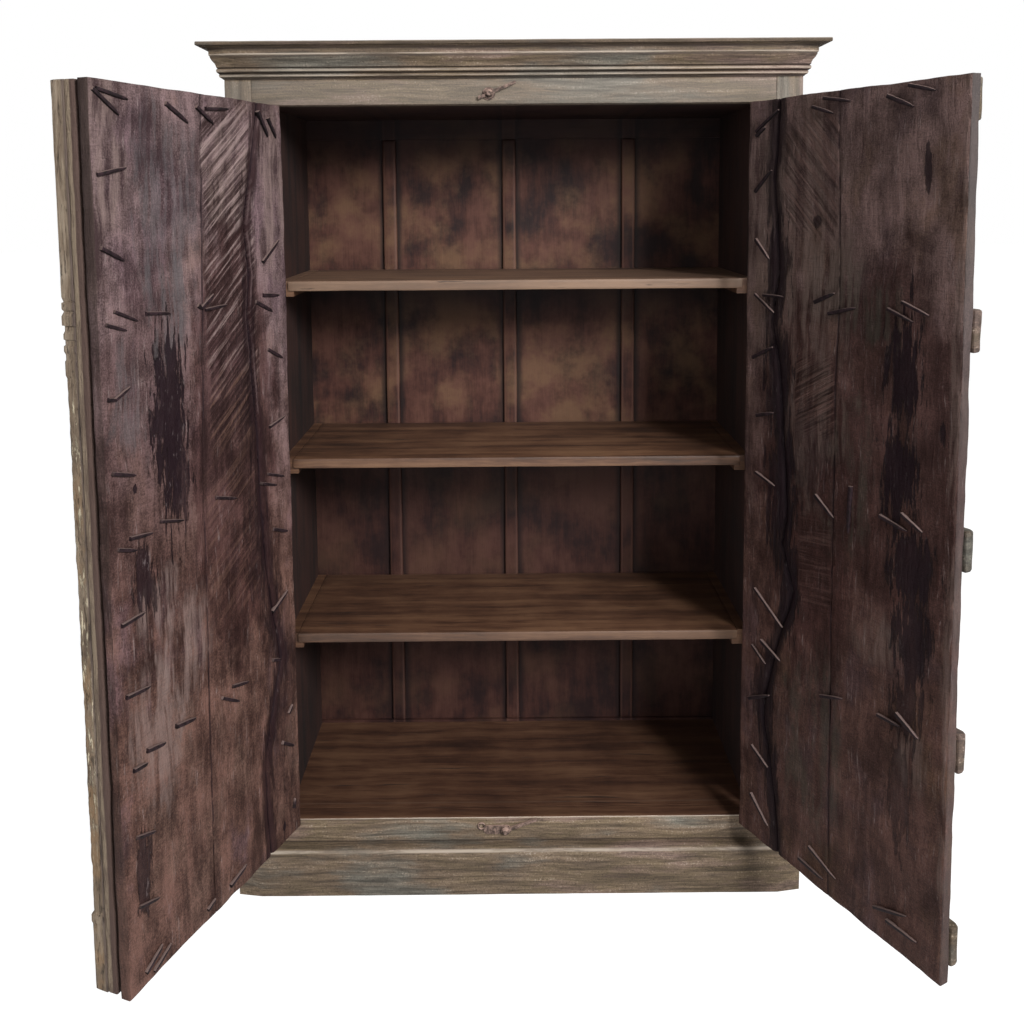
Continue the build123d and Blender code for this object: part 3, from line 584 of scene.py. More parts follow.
class CABINET_OT_finishes(DressingOperator):
    """Makes the finishes and gives them to the carcass pieces that keep their shape"""
    bl_idname = "cabinet.finishes"
    bl_label = "Make finishes"

    UNDERSIDES = (1.748, 1.351, 0.954, 0.550)       # of the frieze and the shelves
    BAY = 0.151             # half the distance from one back strip to the next

    KEPT = (                # words in a piece's name and its finish; the first row that fits counts
        (("hinge_",), "iron"),
        (("catch",), "painted_iron"),
        (("shelf", "floor_board"), "shelf"),
        (("lining",), "wall"),
        (("muntin", "back_panel"), "inside_z"),
        (("ceiling_board", "floor_bearers", "back_top_rail", "back_bottom_rail"), "inside_x"),
        (("post", "jamb", "panel"), "painted_z"),
        (("side", "cornice_left", "cornice_right", "plinth_left", "plinth_right"), "painted_y"),
    )

    def execute(self, context):
        finish = context.scene.cabinet_finish
        for grain in "xyz":
            MATERIALS[f"painted_{grain}"] = painted_wood(f"painted_{grain}", grain, finish)
        for grain in "xz":
            MATERIALS[f"inside_{grain}"] = self.inside_wood(f"inside_{grain}", grain, finish)
        # the side linings: dark wood dimmed as painted shade
        wall = ((0.0, (0.006, 0.004, 0.004)), (1.0, dim(finish.inside, 0.6)))
        MATERIALS["wall"] = Wood("wall", "z", wall).finished()
        # the frame's paint at half brightness for the ledges, as painted shade
        MATERIALS["ledge"] = painted_wood("ledge_paint", "x", finish, 0.50)
        MATERIALS["shelf"] = self.shelf_wood(finish)
        # the second colour of each iron is its painted highlight on faces that look up
        MATERIALS["iron"] = self.forged_iron("forged_iron", finish.iron, (0.20, 0.140, 0.125))
        MATERIALS["painted_iron"] = self.forged_iron("painted_iron", dim(finish.paint_pink, 0.7),
                                                     dim(finish.paint_pink, 2))
        for name, node in frame["nodes"].items():
            node.data.materials.clear()
            node.data.materials.append(MATERIALS[self.kept_finish(name)])
        return {"FINISHED"}

    def kept_finish(self, name):
        """The finish of a carcass piece, with its grain along its length."""
        for words, finish in self.KEPT:
            if any(word in name for word in words) and "plank" not in name:
                return finish
        return "painted_x"

    def inside_wood(self, name, grain, finish):
        """Dark oiled boards: warm patches in each field, painted shadow and a painted highlight along the
        strips, painted shade under the frieze and the shelves.
        """
        f = Finish(name)
        at = f.place()
        x, y, z = f.axes(at)
        mottle = f.noise(at, 8.0, 6.0, 0.62)
        streaks = f.noise(at, drawn_out(grain, 5.0, 26.0), 6.0, 0.68)
        fibres = f.noise(at, drawn_out(grain, 14.0, 240.0), 4.0, 0.7)
        strength = mottle * 0.55 + streaks * 0.35 + fibres * 0.1
        f.colour = f.ramp(f.between(strength, 0.38, 0.62), (0.0, (0.014, 0.006, 0.006)), (0.5, finish.inside),
                          (1.0, (0.098, 0.042, 0.030)))
        patches = f.between(f.noise(f.shift(at, (3.1, 0.0, 1.7)), 8.0, 6.0, 0.62), 0.44, 0.70)
        f.over(patches * f.between(z, 0.90, 1.00, 0.30, 0.70), finish.inside_light)
        from_strip = f.math("PINGPONG", x + 0.012, self.BAY)
        ragged = from_strip + (streaks - 0.5) * 0.012
        # painted shadow that each strip casts on the panels beside it
        crevice = f.between(ragged, 0.036, 0.019) * f.between(from_strip, 0.0160, 0.0180)
        f.over(crevice * 0.85, (0.008, 0.004, 0.004))
        # a painted highlight on each strip's rounded arris
        arris = f.between(from_strip, 0.0162, 0.0140) * f.between(from_strip, 0.0095, 0.0125)
        f.over(arris * 0.55, (0.125, 0.062, 0.046))
        # painted shade under the frieze and each shelf, kept to the inner face
        indoors = f.between(y, 0.228, 0.222)
        for under in self.UNDERSIDES:
            shade = f.between(z, under - 0.16, under - 0.02) * f.between(z, under + 0.004, under)
            f.over(shade * indoors * 0.82, (0.006, 0.003, 0.004))
        f.over(f.between(z, 0.965, 0.945) * 0.40, (0.014, 0.005, 0.005))
        return f.close(streaks * 0.6 + fibres * 0.4, 0.0012, 0.5 + fibres * 0.3, 0.22)

    def shelf_wood(self, finish):
        """Oiled boards, rubbed pale on their front arris, with painted light on the upper shelf's top; the
        lowest ones stay dark.
        """
        wood = Wood("shelf_wood", "x", ((0.0, (0.022, 0.010, 0.006)), (0.45, finish.shelf),
                                        (1.0, finish.shelf_light)))
        _, y, z = wood.axes(wood.at)
        rubbed = wood.between(y, FRONT + 0.0595, FRONT + 0.0565)
        rubbed = rubbed * wood.between(y, FRONT + 0.052, FRONT + 0.054)
        share = wood.between(z, 0.99, 1.30, 0.12, 0.85) + wood.between(z, 0.80, 0.70) * 0.23
        wood.over(rubbed * (0.1 + wood.figure * 0.6) * share, (0.27, 0.19, 0.135))
        # painted light on the upper shelf's top, following its figure
        wood.over(wood.between(z, 1.365, 1.372) * (0.15 + wood.figure * 0.45), (0.20, 0.125, 0.085))
        wood.over(wood.between(z, 0.60, 0.54) * 0.3, (0.024, 0.008, 0.006))
        wood.rough = 0.42 + wood.fibres * 0.3
        return wood.finished(0.0006, 0.4)

    def forged_iron(self, name, body, rubbed):
        """Rusty iron, with the colour rubbed painted on as a highlight where it faces up and painted shade
        where it faces down.
        """
        f = Finish(name)
        at = f.place()
        rust = f.noise(at, 120.0, 5.0, 0.65)
        pits = f.noise(at, 420.0, 3.0, 0.6)
        f.colour = f.ramp(f.between(rust, 0.35, 0.65), (0.0, dim(body, 0.35)), (0.6, tuple(body)),
                          (1.0, dim(body, 1.8)))
        up = f.axes(f.node("ShaderNodeTexCoord", {}, {}, "Normal"))[Z]
        # painted highlight on faces that look up, painted shade on faces that look down
        f.over(f.between(up, 0.15, 0.60) * 0.85, rubbed)
        f.over(f.between(up, -0.10, -0.60) * 0.85, dim(body, 0.15))
        return f.close(rust + pits * 0.6, 0.0008, 0.5 + rust * 0.3, 0.2)


class CABINET_OT_carcass(DressingOperator):
    """Makes the worn front rails and posts"""
    bl_idname = "cabinet.carcass"
    bl_label = "Make front frame"

    def execute(self, context):
        post = context.scene.cabinet_sizes.post_width
        left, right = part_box("left_front_post"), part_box("right_front_post")
        for node in ("frieze_rail", "threshold_rail"):
            low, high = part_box(node)
            rail = worn_bar(f"worn_{node}", (left[1].x, low.y, low.z), (right[0].x, high.y, high.z), X,
                            0.0016, 0.0011)
            finish_piece(rail, "cabinet", "painted_wood", MATERIALS["painted_x"], node)
            if node == "threshold_rail":        # its upper face is bare and oiled, as the floor behind it
                second_finish(rail, MATERIALS["shelf"], lambda co: co.z > high.z - 0.0012)
        for node, (low, high) in (("left_front_post", left), ("right_front_post", right)):
            if abs((high.x - low.x) - post) > 0.001:
                raise RuntimeError(f"{node} is not as wide as the post width in the settings")
            upright = worn_bar(f"worn_{node}", low, high, Z, 0.0018, 0.0012)
            finish_piece(upright, "cabinet", "painted_wood", MATERIALS["painted_z"], node)
        return {"FINISHED"}


class CABINET_OT_mouldings(DressingOperator):
    """Sweeps the cornice and the plinth round the body"""
    bl_idname = "cabinet.mouldings"
    bl_label = "Make mouldings"

    CORNICE = (     # closed outlines, as (proud, up)
        (0.000, 0.000), (0.003, 0.000), (0.003, 0.003), (0.008, 0.003), (0.0105, 0.0045), (0.0115, 0.007),
        (0.0105, 0.0095), (0.009, 0.011), (0.014, 0.012), (0.0168, 0.0135), (0.018, 0.0165),
        (0.0168, 0.0195), (0.014, 0.021), (0.017, 0.023), (0.0182, 0.027), (0.0212, 0.0315),
        (0.0265, 0.036), (0.031, 0.042), (0.031, 0.045), (0.034, 0.047), (0.034, 0.057), (0.0355, 0.060),
        (0.041, 0.064), (0.000, 0.064),
    )
    PLINTH = (
        (0.0, 0.0), (0.030, 0.0), (0.030, 0.0905), (0.0288, 0.0965), (0.0255, 0.1020), (0.0203, 0.1058),
        (0.0140, 0.1068), (0.0, 0.1068),
    )

    def execute(self, context):
        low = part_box("left_front_post")[0]
        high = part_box("right_rear_post")[1]
        corners = [(low.x, high.y, 0), (low.x, low.y, 0), (high.x, low.y, 0), (high.x, high.y, 0)]
        for name, outline, foot in (
            ("cornice", self.CORNICE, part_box("cornice_front")[0].z),
            ("plinth", self.PLINTH, 0.0),
        ):
            piece = moulding(f"worn_{name}", outline, stations(corners, 0.03))
            settle(piece, Matrix.Translation((0, 0, foot)))
            finer(piece, 1)
            roughen(piece, 0.06, 0.0012)
            smooth(piece, 30)
            finish_piece(piece, "cabinet", "painted_wood", MATERIALS["painted_x"],
                         *[f"{name}_{side}" for side in ("front", "left", "right")])
            # the runs along the sides, as far as the mitres, have a grain that follows them
            second_finish(piece, MATERIALS["painted_y"],
                          lambda co: max(low.x - co.x, co.x - high.x) > low.y - co.y)
        low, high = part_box("top_board")
        board = worn_bar("worn_top_board", low, high, X, 0.002, 0.001, pitch=0.06)
        finish_piece(board, "cabinet", "painted_wood", MATERIALS["painted_x"], "top_board")
        return {"FINISHED"}


class CABINET_OT_inside(DressingOperator):
    """Makes the shelves and the back's upright strips"""
    bl_idname = "cabinet.inside"
    bl_label = "Make inside"

    def execute(self, context):
        for node in ("upper_shelf", "middle_shelf", "lower_shelf"):
            shelf = worn_bar(f"worn_{node}", *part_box(node), X, 0.0028, 0.0014, 0.08)
            finish_piece(shelf, "cabinet", "shelf_wood", MATERIALS["shelf"], node)
        for side in ("left", "centre", "right"):
            node = f"{side}_back_muntin"
            strip = worn_bar(f"worn_{node}", *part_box(node), Z, 0.006, 0.0015)
            finish_piece(strip, "cabinet", "inner_wood", MATERIALS["inside_z"], node)
        return {"FINISHED"}


# ---------------------------------------------------------------- doors

THROUGH = {"left": 1, "right": -1}      # which way depth behind the hinge axis runs in a leaf's own frame


def leaf_matrix(side):
    """From a leaf's own frame (x along it from the axis, y through it, z up) to where it stands open."""
    joint = JOINTS[f"{side}_door_hinge"]
    x, y, _ = joint["pos_m"]
    turn = -joint["range_deg"][1] if side == "left" else 180 - joint["range_deg"][0]
    return Matrix.Translation((x, y, 0)) @ Matrix.Rotation(math.radians(turn), 4, "Z")


def leaf_turn(side):
    """The leaf's own frame as a place and a turn, for its finishes."""
    stand = leaf_matrix(side)
    return tuple(stand.translation), (0, 0, stand.to_euler().z)


def hang(piece, side, slot, material, part):
    """Moves a piece from its leaf's own frame to where the leaf stands, gives it its material and body, and
    hides the part it stands for.
    """
    settle(piece, leaf_matrix(side))
    finish_piece(piece, f"{side}_door", slot, material, f"{side}_door_{part}")


def along(path, z):
    """Where a seam drawn as (height, place) pairs in millimetres lies at a height in metres."""
    z *= 1000
    for (z0, s0), (z1, s1) in zip(path, path[1:]):
        if z <= z1:
            return (s0 + (s1 - s0) * (z - z0) / (z1 - z0)) / 1000
    return path[-1][1] / 1000


SEAMS = {       # each leaf's four plank edges from the hinge edge outwards, as (height, place)
    "left": (
        ((168, 0), (1745, 0)),
        ((168, 108), (249, 115), (362, 119), (460, 95), (584, 52), (671, 75), (863, 103), (992, 110),
         (1096, 113), (1201, 124), (1323, 134), (1402, 122), (1501, 133), (1600, 111), (1720, 80),
         (1745, 76)),
        ((168, 297), (400, 297), (700, 292), (990, 288), (1360, 272), (1745, 256)),
        ((168, 534), (1745, 534)),
    ),
    "right": (
        ((168, 0), (1745, 0)),
        ((168, 120), (280, 108), (360, 91), (459, 65), (560, 90), (669, 121), (745, 155), (837, 116),
         (894, 128), (996, 121), (1098, 111), (1199, 101), (1299, 76), (1402, 95), (1503, 85), (1583, 76),
         (1653, 81), (1745, 84)),
        ((168, 268), (360, 263), (768, 257), (1200, 255), (1350, 260), (1745, 248)),
        ((168, 534), (1745, 534)),
    ),
}
PLANKS = ("hinge", "middle", "outer")


class CABINET_OT_planks(DressingOperator):
    """Makes the sawn planks of both leaves, with their waney seams"""
    bl_idname = "cabinet.planks"
    bl_label = "Make door planks"

    SEAM = 0.0003           # each plank keeps this far from its neighbour
    WANEY = 0.010           # bevel of the waney seam's arrises
    SHARP = 0.0010          # bevel of the other arrises
    PLANED = 0.008          # bevel of the free edge's outer arris
    TOUCH = 0.0001          # how near to a plane a point counts as on it

    def execute(self, context):
        sizes = context.scene.cabinet_sizes
        for side in SIDES:
            material = LeafWood(side, sizes, context.scene.cabinet_finish).make()
            MATERIALS[f"{side}_door"] = material
            for index, name in enumerate(PLANKS):
                plank = self.sawn_plank(sizes, side, index, f"{side}_door_{name}_plank")
                hang(plank, side, f"{side}_door_wood", material, f"{name}_plank")
        return {"FINISHED"}

    def sawn_plank(self, sizes, side, index, node):
        """One plank, drawn up in steps from its foot so that its edges follow the seams."""
        low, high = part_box(node)
        near, far = SEAMS[side][index], SEAMS[side][index + 1]
        inner, outer = THROUGH[side] * sizes.plank_inner, THROUGH[side] * sizes.plank_outer

        def edges(z):
            return [sizes.leaf_start + along(near, z) + self.SEAM * (index > 0),
                    sizes.leaf_start + along(far, z) - self.SEAM * (index < 2)]

        heights = [low.z] + spaced(low.z, high.z, 0.045) + [high.z]
        a, b = edges(low.z)
        plank = bar(f"sawn_{node}", (a, min(inner, outer), low.z), (b, max(inner, outer), high.z))
        slice_up(plank, X, spaced(a, b, 0.03))
        slice_up(plank, Z, heights[1:-1])
        for height in heights[1:]:
            c, d = edges(height)
            pick(plank, lambda co: abs(co.z - height) < 0.001)
            bpy.ops.transform.resize(value=((d - c) / (b - a), 1, 1), center_override=(a, 0, 0))
            bpy.ops.transform.translate(value=(c - a, 0, 0))
            done()
        for path, waney in ((near, index == 1), (far, index == 0)):
            bevel_where(plank, lambda co: abs(co.y - inner) < self.TOUCH
                        and abs(co.x - sizes.leaf_start - along(path, co.z)) < 0.0012,
                        self.WANEY if waney else self.SHARP, 3 if waney else 1)
        if index == 2:
            bevel_where(plank, lambda co: abs(co.y - outer) < self.TOUCH
                        and co.x > sizes.leaf_start + sizes.leaf_width - 0.0002, self.PLANED)
        finer(plank, 3 if index == 1 else 2)
        roughen(plank, 0.16, 0.006)
        roughen(plank, 0.045, 0.003)
        if index == 1:
            for field in TOOL_MARKS[side]:
                self.plough(plank, *field)
        smooth(plank, 50)
        return plank

    def plough(self, plank, left, right, degrees, foot, head, strength):
        """Raises slanting ridges inside a field of a plank, as an old saw leaves them."""
        field = plank.vertex_groups.new(name="field")
        soft = 0.03
        for vertex in plank.data.vertices:
            x, _, z = vertex.co
            edge = min(x - left, right - x, z - foot, head - z)
            field.add([vertex.index], max(0.0, min(1.0, edge / soft)), "REPLACE")
        turn = Matrix.Rotation(math.radians(degrees), 4, "Y")
        draw_out = Matrix.Diagonal((0.35, 1, 3.5, 1))
        settle(plank, turn)
        settle(plank, draw_out)
        roughen(plank, 0.035, 0.005 * strength, "Y", "field")
        settle(plank, draw_out.inverted())
        settle(plank, turn.inverted())
        plank.vertex_groups.remove(plank.vertex_groups["field"])


TOOL_MARKS = {       # slanting saw marks: left, right, slope in degrees, foot, head, force
    "left": (
        (0.105, 0.265, -37, 1.08, 1.72, 1.0), (0.115, 0.285, -31, 0.74, 1.04, 0.40),
    ),
    "right": (
        (0.100, 0.255, -46, 1.47, 1.70, 0.7), (0.145, 0.258, 29, 1.10, 1.23, 1.0),
        (0.165, 0.258, 9, 0.75, 0.91, 0.45),
    ),
}
BLACK = {       # old black stains: place, height, half width, half height, depth
    "left": (
        (0.373, 1.16, 0.040, 0.150, 1.0), (0.355, 1.07, 0.024, 0.11, 0.8),
        (0.456, 0.895, 0.026, 0.050, 0.85), (0.486, 0.378, 0.020, 0.062, 0.8),
        (0.06, 0.50, 0.05, 0.20, 0.35), (0.150, 1.22, 0.030, 0.14, 0.35), (0.130, 0.86, 0.030, 0.12, 0.4),
        (0.467, 1.059, 0.005, 0.007, 1.0), (0.060, 0.202, 0.006, 0.008, 1.0),
    ),
    "right": (
        (0.418, 1.235, 0.030, 0.105, 1.0), (0.412, 1.07, 0.036, 0.090, 1.0),
        (0.445, 0.90, 0.044, 0.060, 0.95), (0.452, 0.765, 0.036, 0.075, 0.9),
        (0.445, 0.635, 0.030, 0.060, 0.75), (0.085, 1.66, 0.050, 0.055, 0.35),
        (0.435, 0.47, 0.022, 0.09, 0.5), (0.455, 1.60, 0.006, 0.030, 0.9), (0.504, 1.145, 0.007, 0.02, 0.9),
        (0.095, 1.40, 0.030, 0.10, 0.75), (0.100, 1.18, 0.034, 0.09, 0.8), (0.115, 0.96, 0.036, 0.12, 0.8),
        (0.140, 0.76, 0.026, 0.10, 0.8), (0.075, 0.50, 0.028, 0.10, 0.6), (0.105, 0.31, 0.022, 0.07, 0.6),
        (0.202, 1.502, 0.012, 0.009, 0.85), (0.19, 1.05, 0.05, 0.08, 0.35),
    ),
}
COOL = {       # blue-grey or greenish weathering: place, height, half width, half height
    "left": (
        (0.36, 1.52, 0.08, 0.20), (0.35, 1.36, 0.06, 0.10), (0.47, 1.22, 0.04, 0.10),
    ),
    "right": (
        (0.23, 1.38, 0.05, 0.07), (0.33, 1.34, 0.09, 0.06), (0.22, 0.45, 0.08, 0.16),
        (0.30, 1.02, 0.05, 0.14),
    ),
}
PALE = {       # rubbed, paler places: place, height, half width, half height
    "left": (
        (0.36, 0.72, 0.06, 0.10), (0.42, 0.84, 0.05, 0.05), (0.19, 1.60, 0.06, 0.08),
        (0.50, 1.62, 0.04, 0.12), (0.04, 1.55, 0.04, 0.16), (0.44, 0.62, 0.06, 0.12),
    ),
    "right": (
        (0.37, 0.735, 0.05, 0.045), (0.46, 0.55, 0.03, 0.06), (0.18, 1.50, 0.10, 0.22),
        (0.525, 1.0, 0.01, 0.8), (0.03, 1.50, 0.045, 0.22), (0.20, 1.20, 0.08, 0.20),
    ),
}
LEAF_TONES = {      # what differs between the leaves; "middle" is the red patch's height, half height, strength
    "left": {
        "tan": (0.115, 0.072, 0.055), "plum": (0.080, 0.050, 0.060), "cool": (0.088, 0.082, 0.085),
        "pale": (0.21, 0.150, 0.135), "crevice": (0.020, 0.008, 0.009), "seam_highlight": (0.15, 0.10, 0.10),
        "edge": (0.036, 0.024, 0.020), "specks": (0.20, 0.16, 0.16), "contrast": (0.535, 0.775),
        "middle": (1.10, 0.46, 0.75), "outer": 0.4, "crevice_reach": 0.027, "edge_at_foot": 0.35,
    },
    "right": {
        "tan": (0.085, 0.050, 0.026), "plum": (0.048, 0.030, 0.034), "cool": (0.052, 0.052, 0.040),
        "pale": (0.150, 0.105, 0.090), "crevice": (0.011, 0.006, 0.007), "seam_highlight": (0.06, 0.04, 0.04),
        "edge": (0.046, 0.042, 0.041), "specks": (0.09, 0.075, 0.075), "contrast": (0.49, 0.82),
        "middle": (1.00, 0.40, 0.9), "outer": 0.8, "crevice_reach": 0.030, "edge_at_foot": 0.45,
    },
}


class LeafWood(Finish):
    """Sawn and weathered plank wood of one leaf, with its saw marks, stains and bleached places."""

    def __init__(self, side, sizes, finish):
        super().__init__(f"{side}_door_wood")
        self.side, self.sizes, self.finish = side, sizes, finish
        self.tones = LEAF_TONES[side]
        self.red = getattr(finish, f"{side}_red")
        self.at = self.place(*leaf_turn(side))
        self.x, self.y, self.z = self.axes(self.at)
        flow = self.bend(self.at, 5.0, 0.035)
        self.mottle = self.noise(self.at, 9.0, 6.0, 0.62)
        self.grime = self.noise(self.at, (26, 26, 11), 6.0, 0.65)
        self.grain = self.noise(flow, (55, 55, 4.5), 6.0, 0.62)
        self.fibres = self.noise(flow, (260, 260, 16), 4.0, 0.7)
        self.pores = self.noise(self.at, 330.0, 4.0, 0.65)
        self.rag = self.noise(self.at, (85, 85, 11), 6.0, 0.72)
        self.saw = self.noise(flow, (30, 60, 420), 3.0, 0.6)

    def make(self):
        self.wash()
        self.weather()
        cuts = self.saw_marks()
        crevice = self.seams()
        self.sawn_edge()
        stain = self.stains()
        height = self.grain * 0.5 + self.fibres * 0.4 + self.grime * 0.8 + self.pores * 0.25 + self.saw * 0.15
        height = height + cuts * 2.2 - stain * 0.5 - crevice * 0.5
        return self.close(height, 0.0055, 0.50 + self.fibres * 0.3 - stain * 0.12, 0.10)

    def patch(self, place, half_width, half_height, ragged, noise, soft=0.2):
        """1 inside an ellipse about an (out, up) place, fading out; noise makes its edge ragged."""
        out, up = place
        centred = self.shift(self.at, (-out, 0, -up))
        shares = self.stretch(centred, (1 / half_width, 1, 1 / half_height))
        reach = self.node("ShaderNodeVectorMath", {"operation": "LENGTH"}, {0: shares}, "Value")
        return self.between(reach + (noise - 0.5) * ragged, 1 + soft, 1 - soft)

    def wash(self):
        """The ground: cool above, warm below, red in the middle, then light and dark with the figure."""
        tones = self.tones
        above = self.between(self.z + (self.mottle - 0.5) * 0.5, 0.70, 1.35)
        self.colour = getattr(self.finish, f"{self.side}_warm")
        self.over(above, getattr(self.finish, f"{self.side}_cool"))
        hue = self.noise(self.shift(self.at, (2.0, 5.0, 9.0)), (9, 9, 5), 4.0, 0.6)
        self.over(self.between(hue, 0.52, 0.66) * 0.40, tones["tan"])
        self.over(self.between(hue, 0.48, 0.36) * 0.50, tones["plum"])
        up, half_height, strength = tones["middle"]
        middle = self.patch((0.19, up), 0.14, half_height, 1.2, self.grime)
        outer = self.patch((0.40, 1.10), 0.16, 0.34, 1.2, self.mottle)
        self.over(self.larger(middle * strength, outer * tones["outer"]), self.red)
        figure = self.mottle * 0.42 + self.grime * 0.30 + self.grain * 0.25 + self.pores * 0.34
        self.times(self.ramp(self.between(figure, *tones["contrast"]), (0.0, (0.32, 0.27, 0.28)),
                             (0.5, (0.92, 0.89, 0.89)), (1.0, (1.75, 1.70, 1.72))))

    def weather(self):
        """Cool and rubbed places, bleached fibres and the saw's faint lines."""
        for name, places, low, high, strength in (
            ("cool", COOL, 0.42, 0.58, 0.45),
            ("pale", PALE, 0.38, 0.60, 0.6),
        ):
            for out, up, half_width, half_height in places[self.side]:
                patch = self.patch((out, up), half_width, half_height, 3.0, self.grime, 0.4)
                self.over(patch * self.between(self.grain, low, high) * strength, self.tones[name])
        bleached = self.between(self.fibres, 0.56, 0.72) * self.between(self.grime, 0.40, 0.62)
        self.over(bleached * 0.6, self.finish.fibre)
        self.over(self.between(self.fibres, 0.42, 0.28) * 0.5, dim(self.red, 0.6))
        self.over(self.between(self.saw, 0.45, 0.34) * 0.20, dim(self.red, 0.5))

    def saw_marks(self):
        """Pale and dark slanting lines inside each field of tool marks; returns how they stand up."""
        wander = (self.grime - 0.5) * 0.03
        drift = (self.mottle - 0.5) * 0.1
        scraped = (0.155, 0.088, 0.074)
        if self.side == "left":
            higher = self.between(self.z + (self.mottle - 0.5) * 0.5, 1.18, 1.34)
            scraped = self.blend(higher, (0.155, 0.085, 0.062), (0.34, 0.25, 0.235))
        cuts = 0.0
        for near, far, degrees, foot, head, force in TOOL_MARKS[self.side]:
            lean = self.node("ShaderNodeMapping", {"vector_type": "POINT"},
                             {"Vector": self.at, "Rotation": (0, math.radians(degrees), 0)})
            lines = self.noise(lean, (6, 40, 135), 5.0, 0.62)
            inside = self.between(self.x + wander, near - 0.004, near + 0.012)
            inside = inside * self.between(self.x + wander, far + 0.004, far - 0.012)
            inside = inside * self.between(self.z + drift, foot - 0.04, foot + 0.04)
            inside = inside * self.between(self.z + drift, head + 0.04, head - 0.04)
            self.over(self.between(lines, 0.50, 0.60) * inside * (0.60 * force), scraped)
            self.over(self.between(lines, 0.49, 0.40) * inside * (0.68 * force), dim(self.red, 0.5))
            cuts = (lines - 0.5) * inside * force + cuts
        return cuts

    def seams(self):
        """A dark, ragged crevice along the waney seam, a painted highlight beside it, and a thin line along
        both seams.
        """
        rift = self.away_from(SEAMS[self.side][1])
        crevice = self.between(rift + (self.rag - 0.5) * 0.070, self.tones["crevice_reach"], 0.010)
        self.over(crevice * 0.86, self.tones["crevice"])
        # a painted highlight on the waney seam's bevelled edge
        seam_highlight = self.between(rift, 0.0105, 0.0085) * self.between(rift, 0.0045, 0.0065)
        seam_highlight = seam_highlight * self.between(self.grime, 0.46, 0.58)
        self.over(seam_highlight * self.between(self.z, 1.0, 1.2) * 0.45, self.tones["seam_highlight"])
        joint = self.between(self.away_from(SEAMS[self.side][2]), 0.0036, 0.0014)
        joint = joint * self.between(self.grime, 0.40, 0.50)
        joint = self.larger(joint, self.between(rift + (self.rag - 0.5) * 0.010, 0.0045, 0.002))
        self.over(joint * 0.70, self.finish.stain)
        return crevice

    def away_from(self, seam):
        """How far a place on the leaf is from a seam."""
        low, high = seam[0][0], seam[-1][0]
        level = self.between_straight(self.z, low / 1000, high / 1000)
        path = self.ramp(level, *[((up - low) / (high - low), grey(place / 1000)) for up, place in seam])
        return self.math("ABSOLUTE", self.x - path - self.sizes.leaf_start)

    def sawn_edge(self):
        """The free edge's end wood; on the left leaf also the flaking strip behind the cover post."""
        end = self.sizes.leaf_start + self.sizes.leaf_width
        sawn_end = self.between(self.x, end - 0.0022, end - 0.0008)
        strength = self.between(self.z, 1.10, 1.65, self.tones["edge_at_foot"], 0.85)
        self.over(sawn_end * strength, self.tones["edge"])
        if self.side == "left":
            strip = self.between(self.y, 0.0308, 0.0300)
            self.over(strip, (0.085, 0.055, 0.046))
            flaked = self.between(self.fibres * 0.5 + self.grime * 0.5, 0.44, 0.54)
            self.over(self.between(self.y, 0.020, 0.017) * (0.35 + flaked * 0.5) * strip, (0.27, 0.21, 0.15))

    def stains(self):
        """Old black stains with paler specks in them; returns where they are."""
        stain = 0.0
        for out, up, half_width, half_height, depth in BLACK[self.side]:
            patch = self.patch((out, up), half_width, half_height, 5.0, self.rag, 0.13)
            stain = self.larger(patch * depth, stain)
        self.over(stain * 0.93, self.finish.stain)
        specks = self.between(self.noise(self.at, (120, 120, 34), 5.0, 0.7), 0.60, 0.68)
        self.over(stain * specks * 0.45, self.tones["specks"])
        return stain


LEDGES = (0.037, 0.264, 0.493, 0.7325, 0.976)       # the ledges' middles, as shares of a leaf's height


def ledge_levels(side):
    foot, head = (end.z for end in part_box(f"{side}_door_hinge_plank"))
    return [foot + share * (head - foot) for share in LEDGES]


class CABINET_OT_ledges(DressingOperator):
    """Makes the ledges across the outer face of both leaves"""
    bl_idname = "cabinet.ledges"
    bl_label = "Make door ledges"

    STRIP = 0.050           # width of the strip that the left leaf's ledges end at
    SHORT = {"left": 5 * (STRIP,), "right": (0, 0, 0, 0, 0.014)}        # what each ledge lacks at its end

    def execute(self, context):
        sizes = context.scene.cabinet_sizes
        end = sizes.leaf_start + sizes.leaf_width
        for side in SIDES:
            faces = sorted(THROUGH[side] * depth for depth in (sizes.ledge_outer, sizes.plank_outer - 0.0003))
            ledges = [self.ledge(sizes, side, level, faces, end - short)
                      for level, short in zip(ledge_levels(side), self.SHORT[side])]
            if side == "left":
                ledges.append(self.edge_strip(sizes, end))
            piece = join(ledges, f"worn_{side}_door_ledges")
            material = MATERIALS["left_door" if side == "left" else "ledge"]
            hang(piece, side, f"{side}_door_wood", material, "ledges")
        return {"FINISHED"}

    def ledge(self, sizes, side, level, faces, end):
        half = sizes.ledge_height / 2
        ledge = bar("ledge", (sizes.leaf_start, faces[0], level - half), (end, faces[1], level + half))
        if side == "right":     # the free end's outer arris is chamfered
            bevel_where(ledge, lambda co: co.y > faces[1] - 0.0001 and co.x > end - 0.0001, 0.011, 2)
        slice_up(ledge, X, spaced(sizes.leaf_start, end, 0.05))
        wear(ledge, 0.004, 0.003, 0.04)
        return ledge

    def edge_strip(self, sizes, end):
        """The strip behind the cover post, which the left leaf's ledges end at."""
        foot, head = (corner.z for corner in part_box("left_door_hinge_plank"))
        return worn_bar("strip", (end - self.STRIP, sizes.ledge_outer, foot),
                        (end - 0.002, sizes.plank_outer - 0.003, head), Z, 0.003, 0.003, 0.06)


